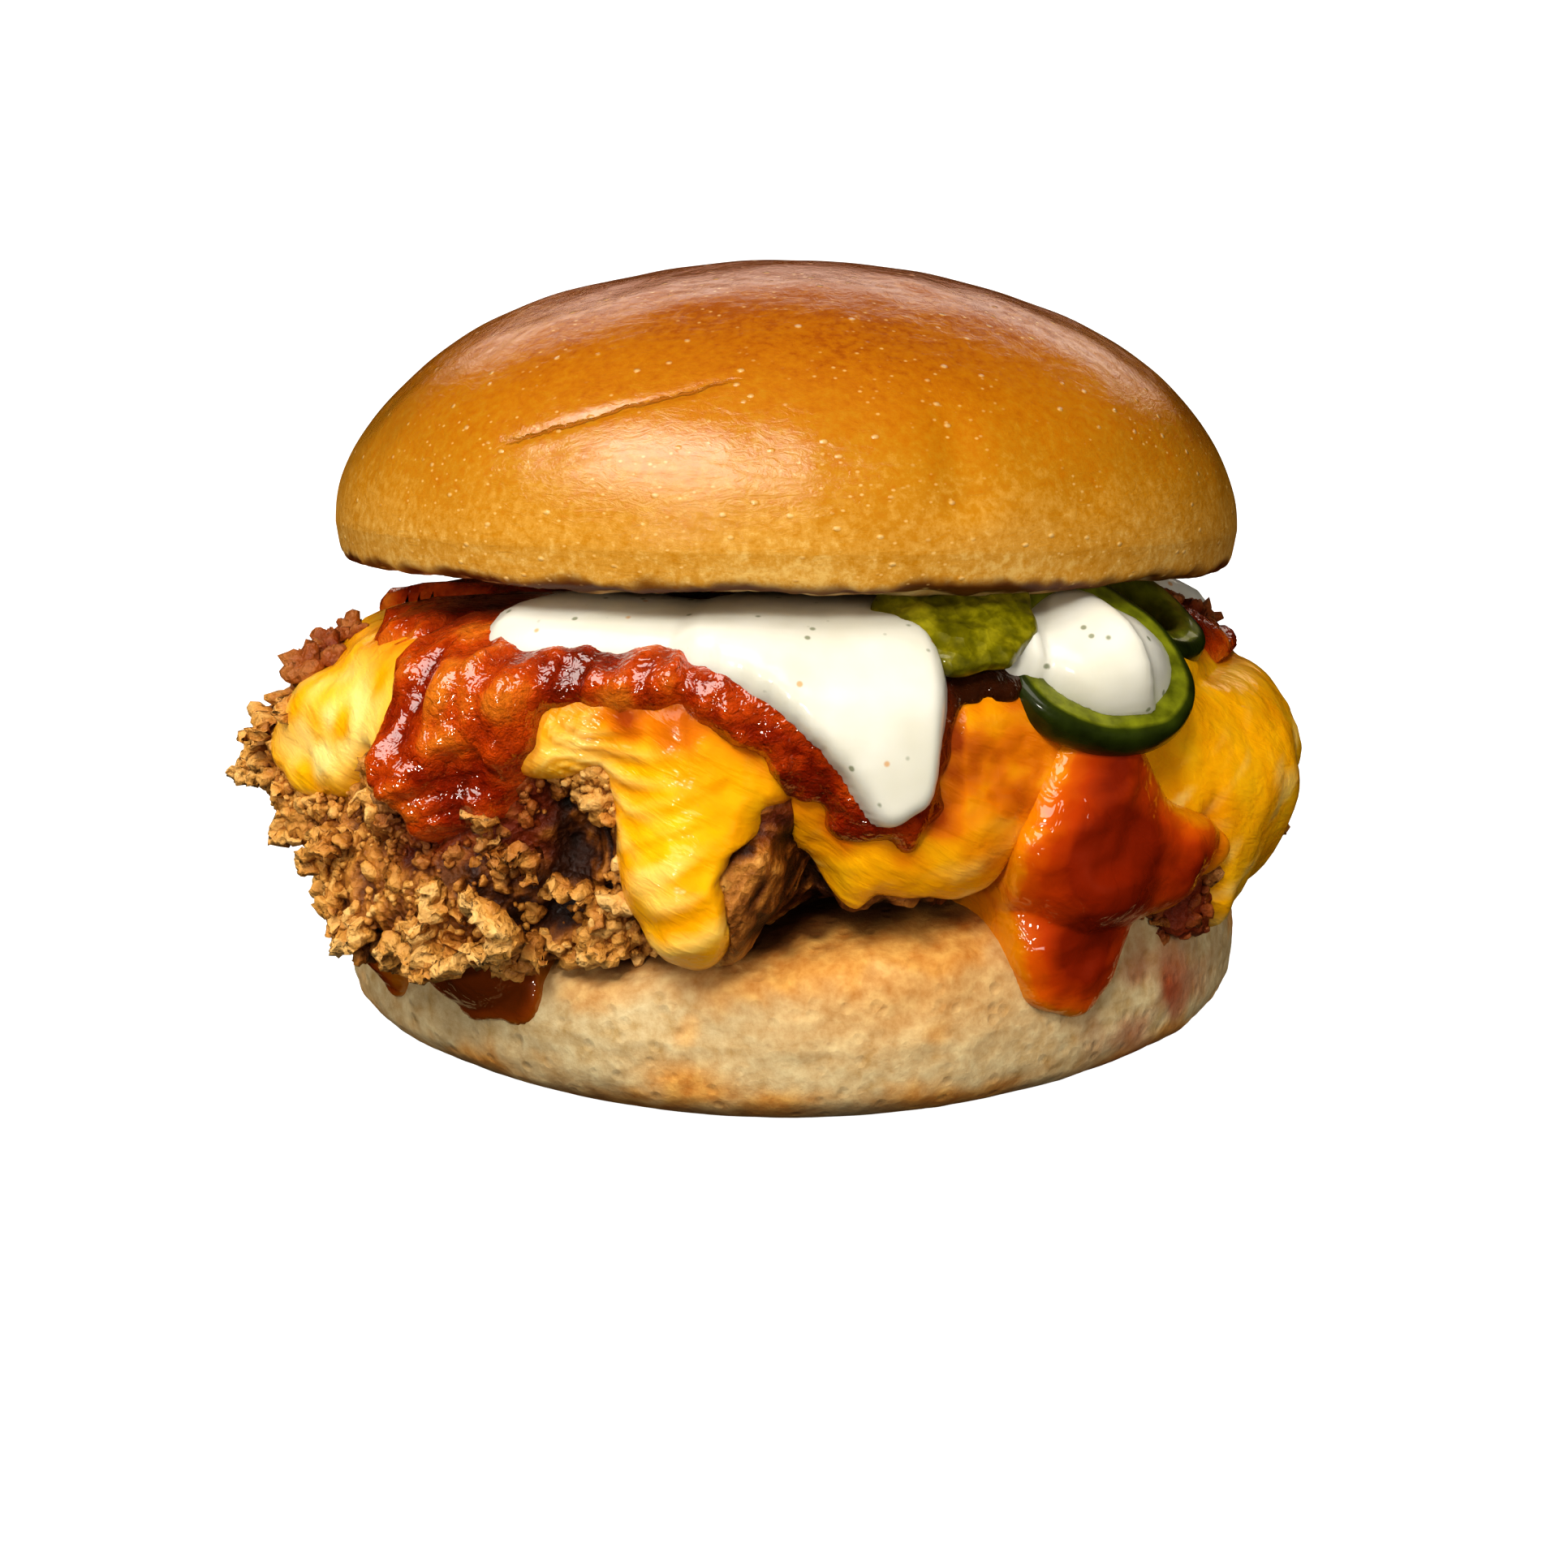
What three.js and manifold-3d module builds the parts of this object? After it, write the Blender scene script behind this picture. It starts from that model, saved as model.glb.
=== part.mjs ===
// A fried chicken burger in a glazed bun, in millimetres.
// Z is up, the side that faces the viewer is -Y, and the origin is on the table under the bottom bun's middle.
// From the table up it holds the bottom bun, a craggy chicken fillet, melted cheese, a chunky red relish,
// ranch sauce, a pickle slice, two jalapeno rings and the glazed top bun, which leans back on the filling.
import * as THREE from "three";
import { ImprovedNoise } from "three/addons/math/ImprovedNoise.js";
import { mergeVertices } from "three/addons/utils/BufferGeometryUtils.js";
import Module from "manifold-3d";

const wasm = await Module();
wasm.setup();

// Driving dimensions
const GAP = 0.3;
const SMOOTHED = 0.18;
const BUN_RADIUS = 54.4;

const HEEL_HEIGHT = 21.8;
const HEEL_LEAN = 5;
const HEEL_LEAN_REACH = 35;
const HEEL_WAIST = 11.5;
const HEEL_FOOT_CUT = 1.2;
const HEEL_SHIFT = 0.9;

const CROWN_SEAT = 53.7;
const CROWN_RISE = 31.4;
const CROWN_SKIRT = 5;
const CROWN_TILT = 8.4;
const CROWN_ROLL = 0.6;

const FILLET_REACH = 53.5;
const FILLET_SHOULDER = 6.5;
const FILLET_BELLY = 4;
const LAYERS_ABOVE_FILLET = 7.6;
const CRAG_SIZE = 10;
const CRAG_DEPTH = 2.8;

const CHEESE_THICKNESS = 2.1;
const CHEESE_LIP = 3;
const RELISH_THICKNESS = 1.9;
const RELISH_LIP = 3;
const RANCH_THICKNESS = 2.3;
const RANCH_LIP = 3.2;
const HOT_SAUCE_THICKNESS = 3.4;
const HOT_SAUCE_LIP = 5;

const JALAPENO_RADIUS = 12;
const JALAPENO_HOLE = 7.6;
const JALAPENO_THICKNESS = 4.4;
const PICKLE_RADIUS = 9;
const PICKLE_THICKNESS = 3.4;

// How far the fillet's outline stands out of its round plan, by azimuth: 0 is the front and 90 the right.
const FILLET_LOBES = [
  { at: -80, out: 2.5, wide: 36 },
  { at: -40, out: 1.5, wide: 20 },
  { at: 84, out: 1, wide: 34 },
  { at: 178, out: -4, wide: 55 },
];

// How far the fillet's edge hangs down outside the bottom bun's rim.
const FILLET_DROOPS = [
  { at: -48, down: 8, wide: 30 },
  { at: -85, down: 4, wide: 20 },
  { at: 60, down: 13, wide: 20 },
  { at: 150, down: 5, wide: 20 },
];

// Lumps and hollows of the fillet: place by azimuth and height, then how far out and over what size.
const FILLET_LUMPS = [
  { at: -84, high: 31, out: 7, wide: 13, tall: 7 },
  { at: -80, high: 48, out: -3.5, wide: 24, tall: 7 },
  { at: -58, high: 22, out: 3.5, wide: 12, tall: 8 },
  { at: -49, high: 24, out: 4, wide: 9, tall: 8 },
  { at: -37, high: 25, out: 5.5, wide: 7, tall: 7 },
  { at: -43, high: 38, out: 2.5, wide: 9, tall: 7 },
  { at: -25, high: 32, out: -6, wide: 5, tall: 8 },
  { at: -18, high: 24, out: -3, wide: 5, tall: 5 },
  { at: -10, high: 27, out: 6, wide: 9.5, tall: 10 },
  { at: 3, high: 28, out: -7, wide: 3.6, tall: 10 },
  { at: 16, high: 36, out: 1.5, wide: 10, tall: 8 },
  { at: 57, high: 17, out: 4, wide: 9, tall: 8 },
  { at: 76, high: 33, out: 6, wide: 22, tall: 9 },
  { at: 78, high: 49, out: -4, wide: 24, tall: 7 },
  { at: 80, high: 21, out: 4.5, wide: 13, tall: 8 },
  { at: 104, high: 27, out: -4, wide: 7, tall: 9 },
  { at: 122, high: 28, out: 4, wide: 12, tall: 8 },
  { at: 150, high: 25, out: 3, wide: 9, tall: 7 },
  { at: 171, high: 27, out: -4, wide: 6, tall: 8 },
  { at: -164, high: 27, out: 4, wide: 10, tall: 8 },
  { at: -134, high: 27, out: 3.5, wide: 11, tall: 8 },
  { at: -112, high: 31, out: -4, wide: 7, tall: 9 },
  { at: -98, high: 27, out: 3, wide: 8, tall: 7 },
];

// Each soft layer ends at a hem: a depth below the crown's rim, and drips that hang further down.
const CHEESE_HEM = {
  depth: 9,
  drips: [
    { at: -65, long: 17, wide: 12 },
    { at: -45, long: 13, wide: 12 },
    { at: -27, long: 11, wide: 9 },
    { at: -14, long: 31, wide: 8 },
    { at: -2, long: 14, wide: 8 },
    { at: 17, long: 26, wide: 14.5 },
    { at: 42, long: 25, wide: 17 },
    { at: 67, long: 31, wide: 12 },
    { at: 88, long: 16, wide: 14 },
    { at: 136, long: 11, wide: 12 },
    { at: 168, long: 5, wide: 12 },
    { at: -163, long: 13, wide: 12 },
    { at: -136, long: 5, wide: 12 },
    { at: -111, long: 12, wide: 10 },
  ],
};
const RELISH_HEM = {
  depth: 0,
  drips: [
    { at: -73, long: 12, wide: 7 },
    { at: -38, long: 26.5, wide: 10.5 },
    { at: -20, long: 10, wide: 14 },
    { at: -3, long: 15, wide: 9 },
    { at: 4, long: 20, wide: 8 },
    { at: 11.5, long: 25.5, wide: 8.5 },
    { at: 27, long: 12, wide: 10 },
    { at: 96, long: 8, wide: 14 },
    { at: 150, long: 15, wide: 12 },
    { at: -138, long: 13, wide: 14 },
    { at: -108, long: 9, wide: 10 },
  ],
};
const RANCH_HEM = {
  depth: -1,
  drips: [
    { at: -20, long: 7.5, wide: 24 },
    { at: -2, long: 10.5, wide: 10 },
    { at: 5, long: 17, wide: 7 },
    { at: 12, long: 24, wide: 6.8 },
    { at: 30, long: 8, wide: 12 },
    { at: 43, long: 14, wide: 9 },
    { at: 118, long: 8, wide: 16 },
    { at: -152, long: 9, wide: 12 },
  ],
};

// Where the ranch sauce lies thicker, over the jalapeno ring and along its long drip.
const RANCH_HEAPS = [
  { at: 42, high: 54, out: 4.5, wide: 8.5, tall: 6 },
  { at: 11, high: 43, out: 1.2, wide: 7, tall: 10 },
];
const RELISH_HEAPS = [
  { at: -42, high: 40, out: 2.6, wide: 9, tall: 10 },
  { at: -36, high: 53, out: 1.6, wide: 12, tall: 5 },
];

// The hot sauce on the right is pools that run together, by azimuth and height, in millimetres across.
const HOT_SAUCE_POOLS = [
  { at: 38, high: 41, wide: 5.5, tall: 6 },
  { at: 37.5, high: 31, wide: 11, tall: 10 },
  { at: 36, high: 20.5, wide: 8, tall: 9 },
  { at: 50, high: 27, wide: 8.5, tall: 6 },
];
const HOT_SAUCE_SPAN = { from: 12, to: 80, low: 5, high: 56 };
const SAUCE_BRIDGE = 9;

const degrees = THREE.MathUtils.radToDeg;
const radians = THREE.MathUtils.degToRad;
const perlin = new ImprovedNoise();

const noise = (x, y, z, size) => perlin.noise(x / size + 7.3, y / size + 2.1, z / size + 4.7);
const turn = (a, b) => THREE.MathUtils.euclideanModulo(a - b + 180, 360) - 180;
const swell = (azimuth, spot) => Math.exp(-((turn(azimuth, spot.at) / spot.wide) ** 2));
const tongue = (azimuth, spot) => Math.exp(-((turn(azimuth, spot.at) / spot.wide) ** 4));
const tally = (spots, share) => spots.reduce((sum, spot) => sum + share(spot), 0);
const heap = (spots, azimuth, high) =>
  tally(spots, (s) => s.out * swell(azimuth, s) * Math.exp(-(((high - s.high) / s.tall) ** 2)));

// A rounded square's outline at an angle above its middle: its share of the width and of the height.
function squircle(angle, squareness) {
  const c = Math.cos(angle);
  const s = Math.sin(angle);
  const size = (Math.abs(c) ** squareness + Math.abs(s) ** squareness) ** (1 / squareness);
  return [c / size, s / size];
}

// A closed solid from a sphere, whose points go where the place function puts them.
// The function gets the azimuth in degrees and the angle above the middle, from 90 to -90.
// The rows crowd together at the middle, and the columns crowd together at the front.
function warped(columns, rows, crowding, forward, place) {
  const geometry = new THREE.SphereGeometry(1, columns, rows);
  const position = geometry.getAttribute("position");
  const point = new THREE.Vector3();
  for (let i = 0; i < position.count; i++) {
    point.fromBufferAttribute(position, i);
    const share = degrees(Math.asin(THREE.MathUtils.clamp(point.y, -1, 1))) / 90;
    const angle = 90 * Math.sign(share) * Math.abs(share) ** crowding;
    const even = Math.abs(share) > 0.9999 ? 0 : Math.atan2(point.x, point.z);
    const azimuth = degrees(even) - forward * Math.sin(even);
    position.setXYZ(i, ...place(azimuth, angle));
  }
  return geometry;
}

// A closed geometry as a solid that can be joined and cut.
function solid(geometry, matrix) {
  const plain = geometry.clone();
  plain.deleteAttribute("normal");
  plain.deleteAttribute("uv");
  if (matrix) plain.applyMatrix4(matrix);
  const merged = mergeVertices(plain, 1e-3);
  const triVerts = new Uint32Array(merged.index.array);
  const made = new wasm.Manifold(
    new wasm.Mesh({ numProp: 3, vertProperties: merged.getAttribute("position").array, triVerts }),
  );
  return made;
}

// The largest piece of a cut solid, as a geometry: loose scraps are dropped.
function largest(cut) {
  const pieces = cut.decompose().sort((a, b) => b.volume() - a.volume());
  const mesh = pieces[0].getMesh();
  const geometry = new THREE.BufferGeometry();
  geometry.setAttribute("position", new THREE.BufferAttribute(mesh.vertProperties, 3));
  geometry.setIndex(new THREE.BufferAttribute(mesh.triVerts, 1));
  return geometry;
}

// Scraps that hang on by a single point only come loose once the points are merged, so it is done twice.
function geometryOf(cut) {
  const geometry = largest(solid(largest(cut.simplify(SMOOTHED))));
  geometry.computeVertexNormals();
  return geometry;
}

// The crown's cut face and the bottom bun's cut face, as heights.
const crownSeat = (x, y) =>
  CROWN_SEAT - y * Math.tan(radians(CROWN_TILT)) - x * Math.tan(radians(CROWN_ROLL));
const heelTop = (x) => HEEL_HEIGHT + HEEL_LEAN * Math.tanh(x / HEEL_LEAN_REACH);
const crownRim = (azimuth) =>
  crownSeat(BUN_RADIUS * Math.sin(radians(azimuth)), -BUN_RADIUS * Math.cos(radians(azimuth)));

// The bottom bun: a low round slab, thicker on the right, with a flat foot and a slightly uneven wall.
function heelPoint(azimuth, angle, grow) {
  const a = radians(azimuth);
  const [across, up] = squircle(radians(angle), angle > 0 ? 6 : 4.3);
  const wall = BUN_RADIUS + 0.5 * Math.cos(2 * a + 0.6) + 0.4 * Math.cos(5 * a);
  const reach = (wall - 1.6 * Math.max(0, up)) * across + grow * across;
  const x = reach * Math.sin(a) + HEEL_SHIFT;
  const y = -reach * Math.cos(a);
  const top = heelTop(x) - HEEL_WAIST + 0.5 * Math.cos(3 * a + 1) * across + grow;
  const z = HEEL_WAIST + up * (angle > 0 ? top : HEEL_WAIST + HEEL_FOOT_CUT);
  return [x, y, Math.max(0, z) - (grow > 0 && z <= 0 ? grow : 0)];
}

// The top bun about its own cut face: a short skirt, then a glazed dome.
function crownPoint(azimuth, angle, grow) {
  const a = radians(azimuth);
  const [across, up] = squircle(radians(angle), angle > 0 ? 2 : 9);
  const wall = BUN_RADIUS + 0.35 * Math.cos(2 * a) + 0.3 * Math.cos(3 * a + 1) + grow;
  const reach = (wall + 0.9 * Math.min(0, up)) * across;
  const rise = angle > 0 ? CROWN_RISE : CROWN_SKIRT;
  const wave = angle < 0 ? 0.35 * Math.cos(7 * a) * across : 0;
  const z = CROWN_SKIRT + up * (rise + grow) + wave * Math.abs(up);
  return [reach * Math.sin(a), -reach * Math.cos(a), z];
}

const filletReach = (azimuth) => FILLET_REACH + tally(FILLET_LOBES, (s) => s.out * swell(azimuth, s));

// The fillet's smooth skin between the two buns: its place, its outward direction and a height along it
// that goes on falling where the skin turns in underneath.
function skin(azimuth, angle) {
  const a = radians(azimuth);
  const squareness = angle > 0 ? FILLET_SHOULDER : FILLET_BELLY;
  const [across, up] = squircle(radians(angle), squareness);
  const full = filletReach(azimuth);
  const reach = full * across;
  const x = reach * Math.sin(a);
  const y = -reach * Math.cos(a);
  const top = crownSeat(x, y) - LAYERS_ABOVE_FILLET;
  const bottom = heelTop(x) + GAP;
  const half = (top - bottom) / 2;
  const overhang = THREE.MathUtils.smoothstep(reach, 46, 54) * THREE.MathUtils.smoothstep(-angle, 0, 36);
  const sag = tally(FILLET_DROOPS, (s) => s.down * swell(azimuth, s)) * overhang;
  const z = (top + bottom) / 2 + half * up - sag;
  const steep = across ** (squareness - 1) / full;
  const flat = (Math.sign(up) * Math.abs(up) ** (squareness - 1)) / half;
  const out = new THREE.Vector3(steep * Math.sin(a), -steep * Math.cos(a), flat).normalize();
  const high = z + (angle < 0 ? reach - full : LAYERS_ABOVE_FILLET * out.z);
  return { x, y, z, out, high, free: 1 - THREE.MathUtils.smoothstep(Math.abs(up), 0.8, 0.97) };
}

const lifted = (spot, lift) => [
  spot.x + spot.out.x * lift,
  spot.y + spot.out.y * lift,
  spot.z + spot.out.z * lift,
];

// How far inside a layer's hem a point of the skin lies, in millimetres along the skin.
function insideHem(hem, azimuth, high) {
  const edge = (at) => crownRim(at) - hem.depth - Math.max(...hem.drips.map((d) => d.long * tongue(at, d)));
  const slope = (edge(azimuth + 0.5) - edge(azimuth - 0.5)) / radians(BUN_RADIUS);
  return (high - edge(azimuth)) / Math.hypot(1, slope);
}

// A layer's thickness: full inside, rounded off at its lip, and below the skin outside.
function thickness(inside, full, lip) {
  if (inside <= 0) return Math.max(-4, inside);
  const short = 1 - Math.min(1, inside / lip);
  return full * Math.sqrt(1 - short * short);
}

const lumps = (azimuth, spot) =>
  (heap(FILLET_LUMPS, azimuth, spot.high) + 1.6 * noise(spot.x, spot.y, spot.z, 17)) * spot.free;

function cheeseThickness(azimuth, spot) {
  return thickness(insideHem(CHEESE_HEM, azimuth, spot.high), CHEESE_THICKNESS, CHEESE_LIP);
}
function relishThickness(azimuth, spot) {
  const chunks = 0.9 * noise(spot.x, spot.y, spot.z, 4.5) * spot.free;
  const full = RELISH_THICKNESS + heap(RELISH_HEAPS, azimuth, spot.high) + chunks;
  return thickness(insideHem(RELISH_HEM, azimuth, spot.high), full, RELISH_LIP);
}
function ranchThickness(azimuth, spot) {
  const full = RANCH_THICKNESS + heap(RANCH_HEAPS, azimuth, spot.high);
  return thickness(insideHem(RANCH_HEM, azimuth, spot.high), full, RANCH_LIP);
}

// The crust's crags: ridges and pits that the cheese evens out where it lies.
function crags(azimuth, spot) {
  const bare = 1 - 0.9 * THREE.MathUtils.smoothstep(cheeseThickness(azimuth, spot), -1.5, 1.5);
  const ridge = 0.7 - 2 * Math.abs(noise(spot.x, spot.y, spot.z, CRAG_SIZE));
  const knob = noise(spot.z, spot.x, spot.y, CRAG_SIZE / 2);
  return CRAG_DEPTH * (ridge + 0.6 * knob) * bare * spot.free;
}

function filletPoint(azimuth, angle, grow) {
  const spot = skin(azimuth, angle);
  return lifted(spot, lumps(azimuth, spot) + crags(azimuth, spot) + grow);
}
function cheesePoint(azimuth, angle, grow) {
  const spot = skin(azimuth, angle);
  return lifted(spot, lumps(azimuth, spot) + GAP + cheeseThickness(azimuth, spot) + grow);
}
function relishPoint(azimuth, angle, grow) {
  const spot = skin(azimuth, angle);
  const under = lumps(azimuth, spot) + 2 * GAP + Math.max(0, cheeseThickness(azimuth, spot));
  return lifted(spot, under + relishThickness(azimuth, spot) + grow);
}
function ranchPoint(azimuth, angle) {
  const spot = skin(azimuth, angle);
  const cheese = Math.max(0, cheeseThickness(azimuth, spot));
  const relish = Math.max(0, relishThickness(azimuth, spot));
  return lifted(spot, lumps(azimuth, spot) + 3 * GAP + cheese + relish + ranchThickness(azimuth, spot));
}

// How far out the pile reaches at an azimuth and height, with hollows bridged as thick sauce bridges them.
function pileReach(azimuth, high) {
  let reach = 0;
  const take = ([x, y, z]) => {
    const bridged = Math.hypot(x, y) - (z - high) ** 2 / (2 * SAUCE_BRIDGE);
    reach = Math.max(reach, bridged);
  };
  for (let angle = 84; angle >= -84; angle -= 4) take(cheesePoint(azimuth, angle, GAP));
  for (let angle = 60; angle >= -60; angle -= 6) take(heelPoint(azimuth, angle, GAP));
  return reach;
}

// The hot sauce: one thick patch over the pools' shared outline, running down over the bottom bun's side.
function hotSauce(columns, rows) {
  const geometry = new THREE.BoxGeometry(1, 1, 1, columns, rows, 1);
  const position = geometry.getAttribute("position");
  const span = HOT_SAUCE_SPAN;
  const across = radians(BUN_RADIUS + 3);
  const blend = 2;
  for (let i = 0; i < position.count; i++) {
    const azimuth = THREE.MathUtils.lerp(span.from, span.to, position.getX(i) + 0.5);
    const high = THREE.MathUtils.lerp(span.low, span.high, position.getY(i) + 0.5);
    const inside = HOT_SAUCE_POOLS.map((pool) => {
      const far = Math.hypot((turn(azimuth, pool.at) * across) / pool.wide, (high - pool.high) / pool.tall);
      return (1 - far) * Math.min(pool.wide, pool.tall);
    });
    const together = Math.log(tally(inside, (v) => Math.exp(v / blend))) * blend;
    const thick = thickness(together, HOT_SAUCE_THICKNESS, HOT_SAUCE_LIP);
    const sunk = Math.max(-14, 6 * Math.min(0, together));
    const reach = pileReach(azimuth, high) + (position.getZ(i) > 0 ? thick + sunk : -20);
    const a = radians(azimuth);
    position.setXYZ(i, reach * Math.sin(a), -reach * Math.cos(a), high);
  }
  return geometry;
}

// A jalapeno ring about its own middle: a thick wall, rounded at its edges and a little three-cornered.
function jalapenoRing(grow) {
  const middle = (JALAPENO_RADIUS + JALAPENO_HOLE) / 2;
  const half = (JALAPENO_RADIUS - JALAPENO_HOLE) / 2 + grow;
  const steps = 8;
  const profile = [];
  for (let i = 0; i <= steps; i++) {
    const [across, up] = squircle((-2 * Math.PI * (i % steps)) / steps, 3.2);
    profile.push(new THREE.Vector2(middle - across * half, up * (JALAPENO_THICKNESS / 2 + grow)));
  }
  const geometry = new THREE.LatheGeometry(profile, 24);
  const position = geometry.getAttribute("position");
  for (let i = 0; i < position.count; i++) {
    const x = position.getX(i);
    const y = position.getZ(i);
    const uneven = 1 + 0.035 * Math.cos(3 * Math.atan2(y, x)) + 0.02 * Math.cos(2 * Math.atan2(y, x) + 1);
    position.setXYZ(i, x * uneven, y * uneven, -position.getY(i));
  }
  return geometry;
}

// A pickle slice about its own middle, with a crinkled edge.
function pickleSlice(grow) {
  return warped(36, 8, 0.8, 0, (azimuth, angle) => {
    const a = radians(azimuth);
    const [across, up] = squircle(radians(angle), 4);
    const reach = (PICKLE_RADIUS * (1 + 0.035 * Math.cos(9 * a)) + grow) * across;
    return [reach * Math.sin(a), -reach * Math.cos(a), up * (PICKLE_THICKNESS / 2 + grow)];
  });
}

// A matrix that stands a flat thing at a point, facing an azimuth and tipped up to an elevation.
function facing(x, y, z, azimuth, elevation) {
  const a = radians(azimuth);
  const e = radians(elevation);
  const out = new THREE.Vector3(Math.sin(a) * Math.cos(e), -Math.cos(a) * Math.cos(e), Math.sin(e));
  const turned = new THREE.Quaternion().setFromUnitVectors(new THREE.Vector3(0, 0, 1), out);
  return new THREE.Matrix4().compose(new THREE.Vector3(x, y, z), turned, new THREE.Vector3(1, 1, 1));
}

const JALAPENO_FRONT = facing(33.8, -39.5, 51, 34, 50);
const JALAPENO_BACK = facing(37.5, -18, 53, 72, 62);
const PICKLE = facing(18.5, -44.5, 58, 14, 60);

const material = (color, roughness) => new THREE.MeshStandardMaterial({ color, roughness, metalness: 0 });
const MATERIALS = {
  bun_bottom: material("#dcc48c", 0.75),
  bun_top: material("#c07a26", 0.32),
  fried_chicken: material("#a2602a", 0.55),
  melted_cheese: material("#eda81c", 0.3),
  red_relish: material("#9c2410", 0.2),
  hot_sauce: material("#b02c08", 0.15),
  ranch_sauce: material("#ece9da", 0.25),
  pickle_slice: material("#93a32a", 0.25),
  jalapeno: material("#3c5416", 0.25),
};

const burger = new THREE.Group();
function add(name, geometry, finish) {
  const mesh = new THREE.Mesh(geometry, finish);
  mesh.name = name;
  burger.add(mesh);
  return mesh;
}

const HEEL_MESH = [46, 11, 1.1, 0];
const CROWN_MESH = [46, 13, 1, 0];
const FILLING_MESH = [73, 17, 1.22, 18];

const crownPlace = new THREE.Matrix4().compose(
  new THREE.Vector3(0, 0, CROWN_SEAT),
  new THREE.Quaternion().setFromEuler(new THREE.Euler(radians(-CROWN_TILT), radians(CROWN_ROLL), 0)),
  new THREE.Vector3(1, 1, 1),
);
const shape = (mesh, point, grow) => warped(...mesh, (azimuth, angle) => point(azimuth, angle, grow));

const heelGrown = solid(shape(HEEL_MESH, heelPoint, GAP));
const crownGrown = solid(shape(CROWN_MESH, crownPoint, GAP), crownPlace);
const crownFoot = new THREE.Matrix4().makeTranslation(0, 0, -GAP).multiply(crownPlace);
const crownCut = crownGrown.add(solid(shape(CROWN_MESH, crownPoint, 0), crownFoot));

const filletCut = solid(shape(FILLING_MESH, filletPoint, 0)).subtract(heelGrown);
const filletGrown = solid(shape(FILLING_MESH, filletPoint, GAP));

// The greens keep clear of the crown and of each other, and the soft layers lie round everything firm.
const firm = heelGrown.add(filletGrown).add(crownCut);
const cheeseGrown = solid(shape(FILLING_MESH, cheesePoint, GAP));
const relishGrown = solid(shape(FILLING_MESH, relishPoint, GAP));
const frontRoom = solid(jalapenoRing(2 * GAP), JALAPENO_FRONT);
const backRoom = solid(jalapenoRing(2 * GAP), JALAPENO_BACK);
const pickleRoom = solid(pickleSlice(2 * GAP), PICKLE);
const greenRoom = frontRoom.add(backRoom).add(pickleRoom);

const jalapenoFront = solid(jalapenoRing(0), JALAPENO_FRONT).subtract(firm).subtract(pickleRoom);
const jalapenoBack = solid(jalapenoRing(0), JALAPENO_BACK).subtract(firm).subtract(frontRoom);
const pickle = solid(pickleSlice(0), PICKLE).subtract(firm);

const layer = (point) => solid(shape(FILLING_MESH, point, 0)).subtract(firm).subtract(greenRoom);
const cheese = layer(cheesePoint);
const relish = layer(relishPoint).subtract(cheeseGrown);
const ranch = layer(ranchPoint).subtract(cheeseGrown).subtract(relishGrown);
const sauce = solid(hotSauce(22, 18)).subtract(firm).subtract(greenRoom).subtract(cheeseGrown);

add("bun_bottom", shape(HEEL_MESH, heelPoint, 0), MATERIALS.bun_bottom);
add("fried_chicken", geometryOf(filletCut), MATERIALS.fried_chicken);
add("melted_cheese", geometryOf(cheese), MATERIALS.melted_cheese);
add("red_relish", geometryOf(relish), MATERIALS.red_relish);
add("ranch_sauce", geometryOf(ranch), MATERIALS.ranch_sauce);
add("hot_sauce", geometryOf(sauce), MATERIALS.hot_sauce);
add("jalapeno_front", geometryOf(jalapenoFront), MATERIALS.jalapeno);
add("jalapeno_back", geometryOf(jalapenoBack), MATERIALS.jalapeno);
add("pickle_slice", geometryOf(pickle), MATERIALS.pickle_slice);
const crown = add("bun_top", shape(CROWN_MESH, crownPoint, 0), MATERIALS.bun_top);
crown.applyMatrix4(crownPlace);

export default burger;
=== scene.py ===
import math
import bmesh
import bpy
import numpy as np
from mathutils import Matrix, Vector


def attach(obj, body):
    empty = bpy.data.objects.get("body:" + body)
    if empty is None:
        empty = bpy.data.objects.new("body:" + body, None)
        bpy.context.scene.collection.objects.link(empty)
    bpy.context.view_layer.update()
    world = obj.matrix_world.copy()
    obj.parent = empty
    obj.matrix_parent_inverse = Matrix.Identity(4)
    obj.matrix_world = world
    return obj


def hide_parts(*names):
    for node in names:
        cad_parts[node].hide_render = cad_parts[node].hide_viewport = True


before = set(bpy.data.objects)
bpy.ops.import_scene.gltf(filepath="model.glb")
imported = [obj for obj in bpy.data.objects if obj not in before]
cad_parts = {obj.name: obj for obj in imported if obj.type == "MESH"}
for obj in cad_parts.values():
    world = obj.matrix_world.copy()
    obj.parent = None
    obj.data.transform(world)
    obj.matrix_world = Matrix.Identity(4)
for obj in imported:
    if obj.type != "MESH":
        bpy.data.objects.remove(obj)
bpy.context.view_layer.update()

# Driving dimensions, the same as the solids'
GAP = 0.3
BUN_RADIUS = 54.4

HEEL_HEIGHT = 21.8
HEEL_LEAN = 5
HEEL_LEAN_REACH = 35
HEEL_WAIST = 11.5
HEEL_FOOT_CUT = 1.2
HEEL_SHIFT = 0.9

CROWN_SEAT = 53.7
CROWN_RISE = 31.4
CROWN_SKIRT = 5
CROWN_TILT = 8.4
CROWN_ROLL = 0.6

FILLET_REACH = 53.5
FILLET_SHOULDER = 6.5
FILLET_BELLY = 4
LAYERS_ABOVE_FILLET = 7.6

CHEESE_THICKNESS = 2.1
CHEESE_LIP = 3
RELISH_THICKNESS = 1.9
RELISH_LIP = 3
RANCH_THICKNESS = 2.3
RANCH_LIP = 2.5
HOT_SAUCE_THICKNESS = 3.4
HOT_SAUCE_LIP = 5

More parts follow.
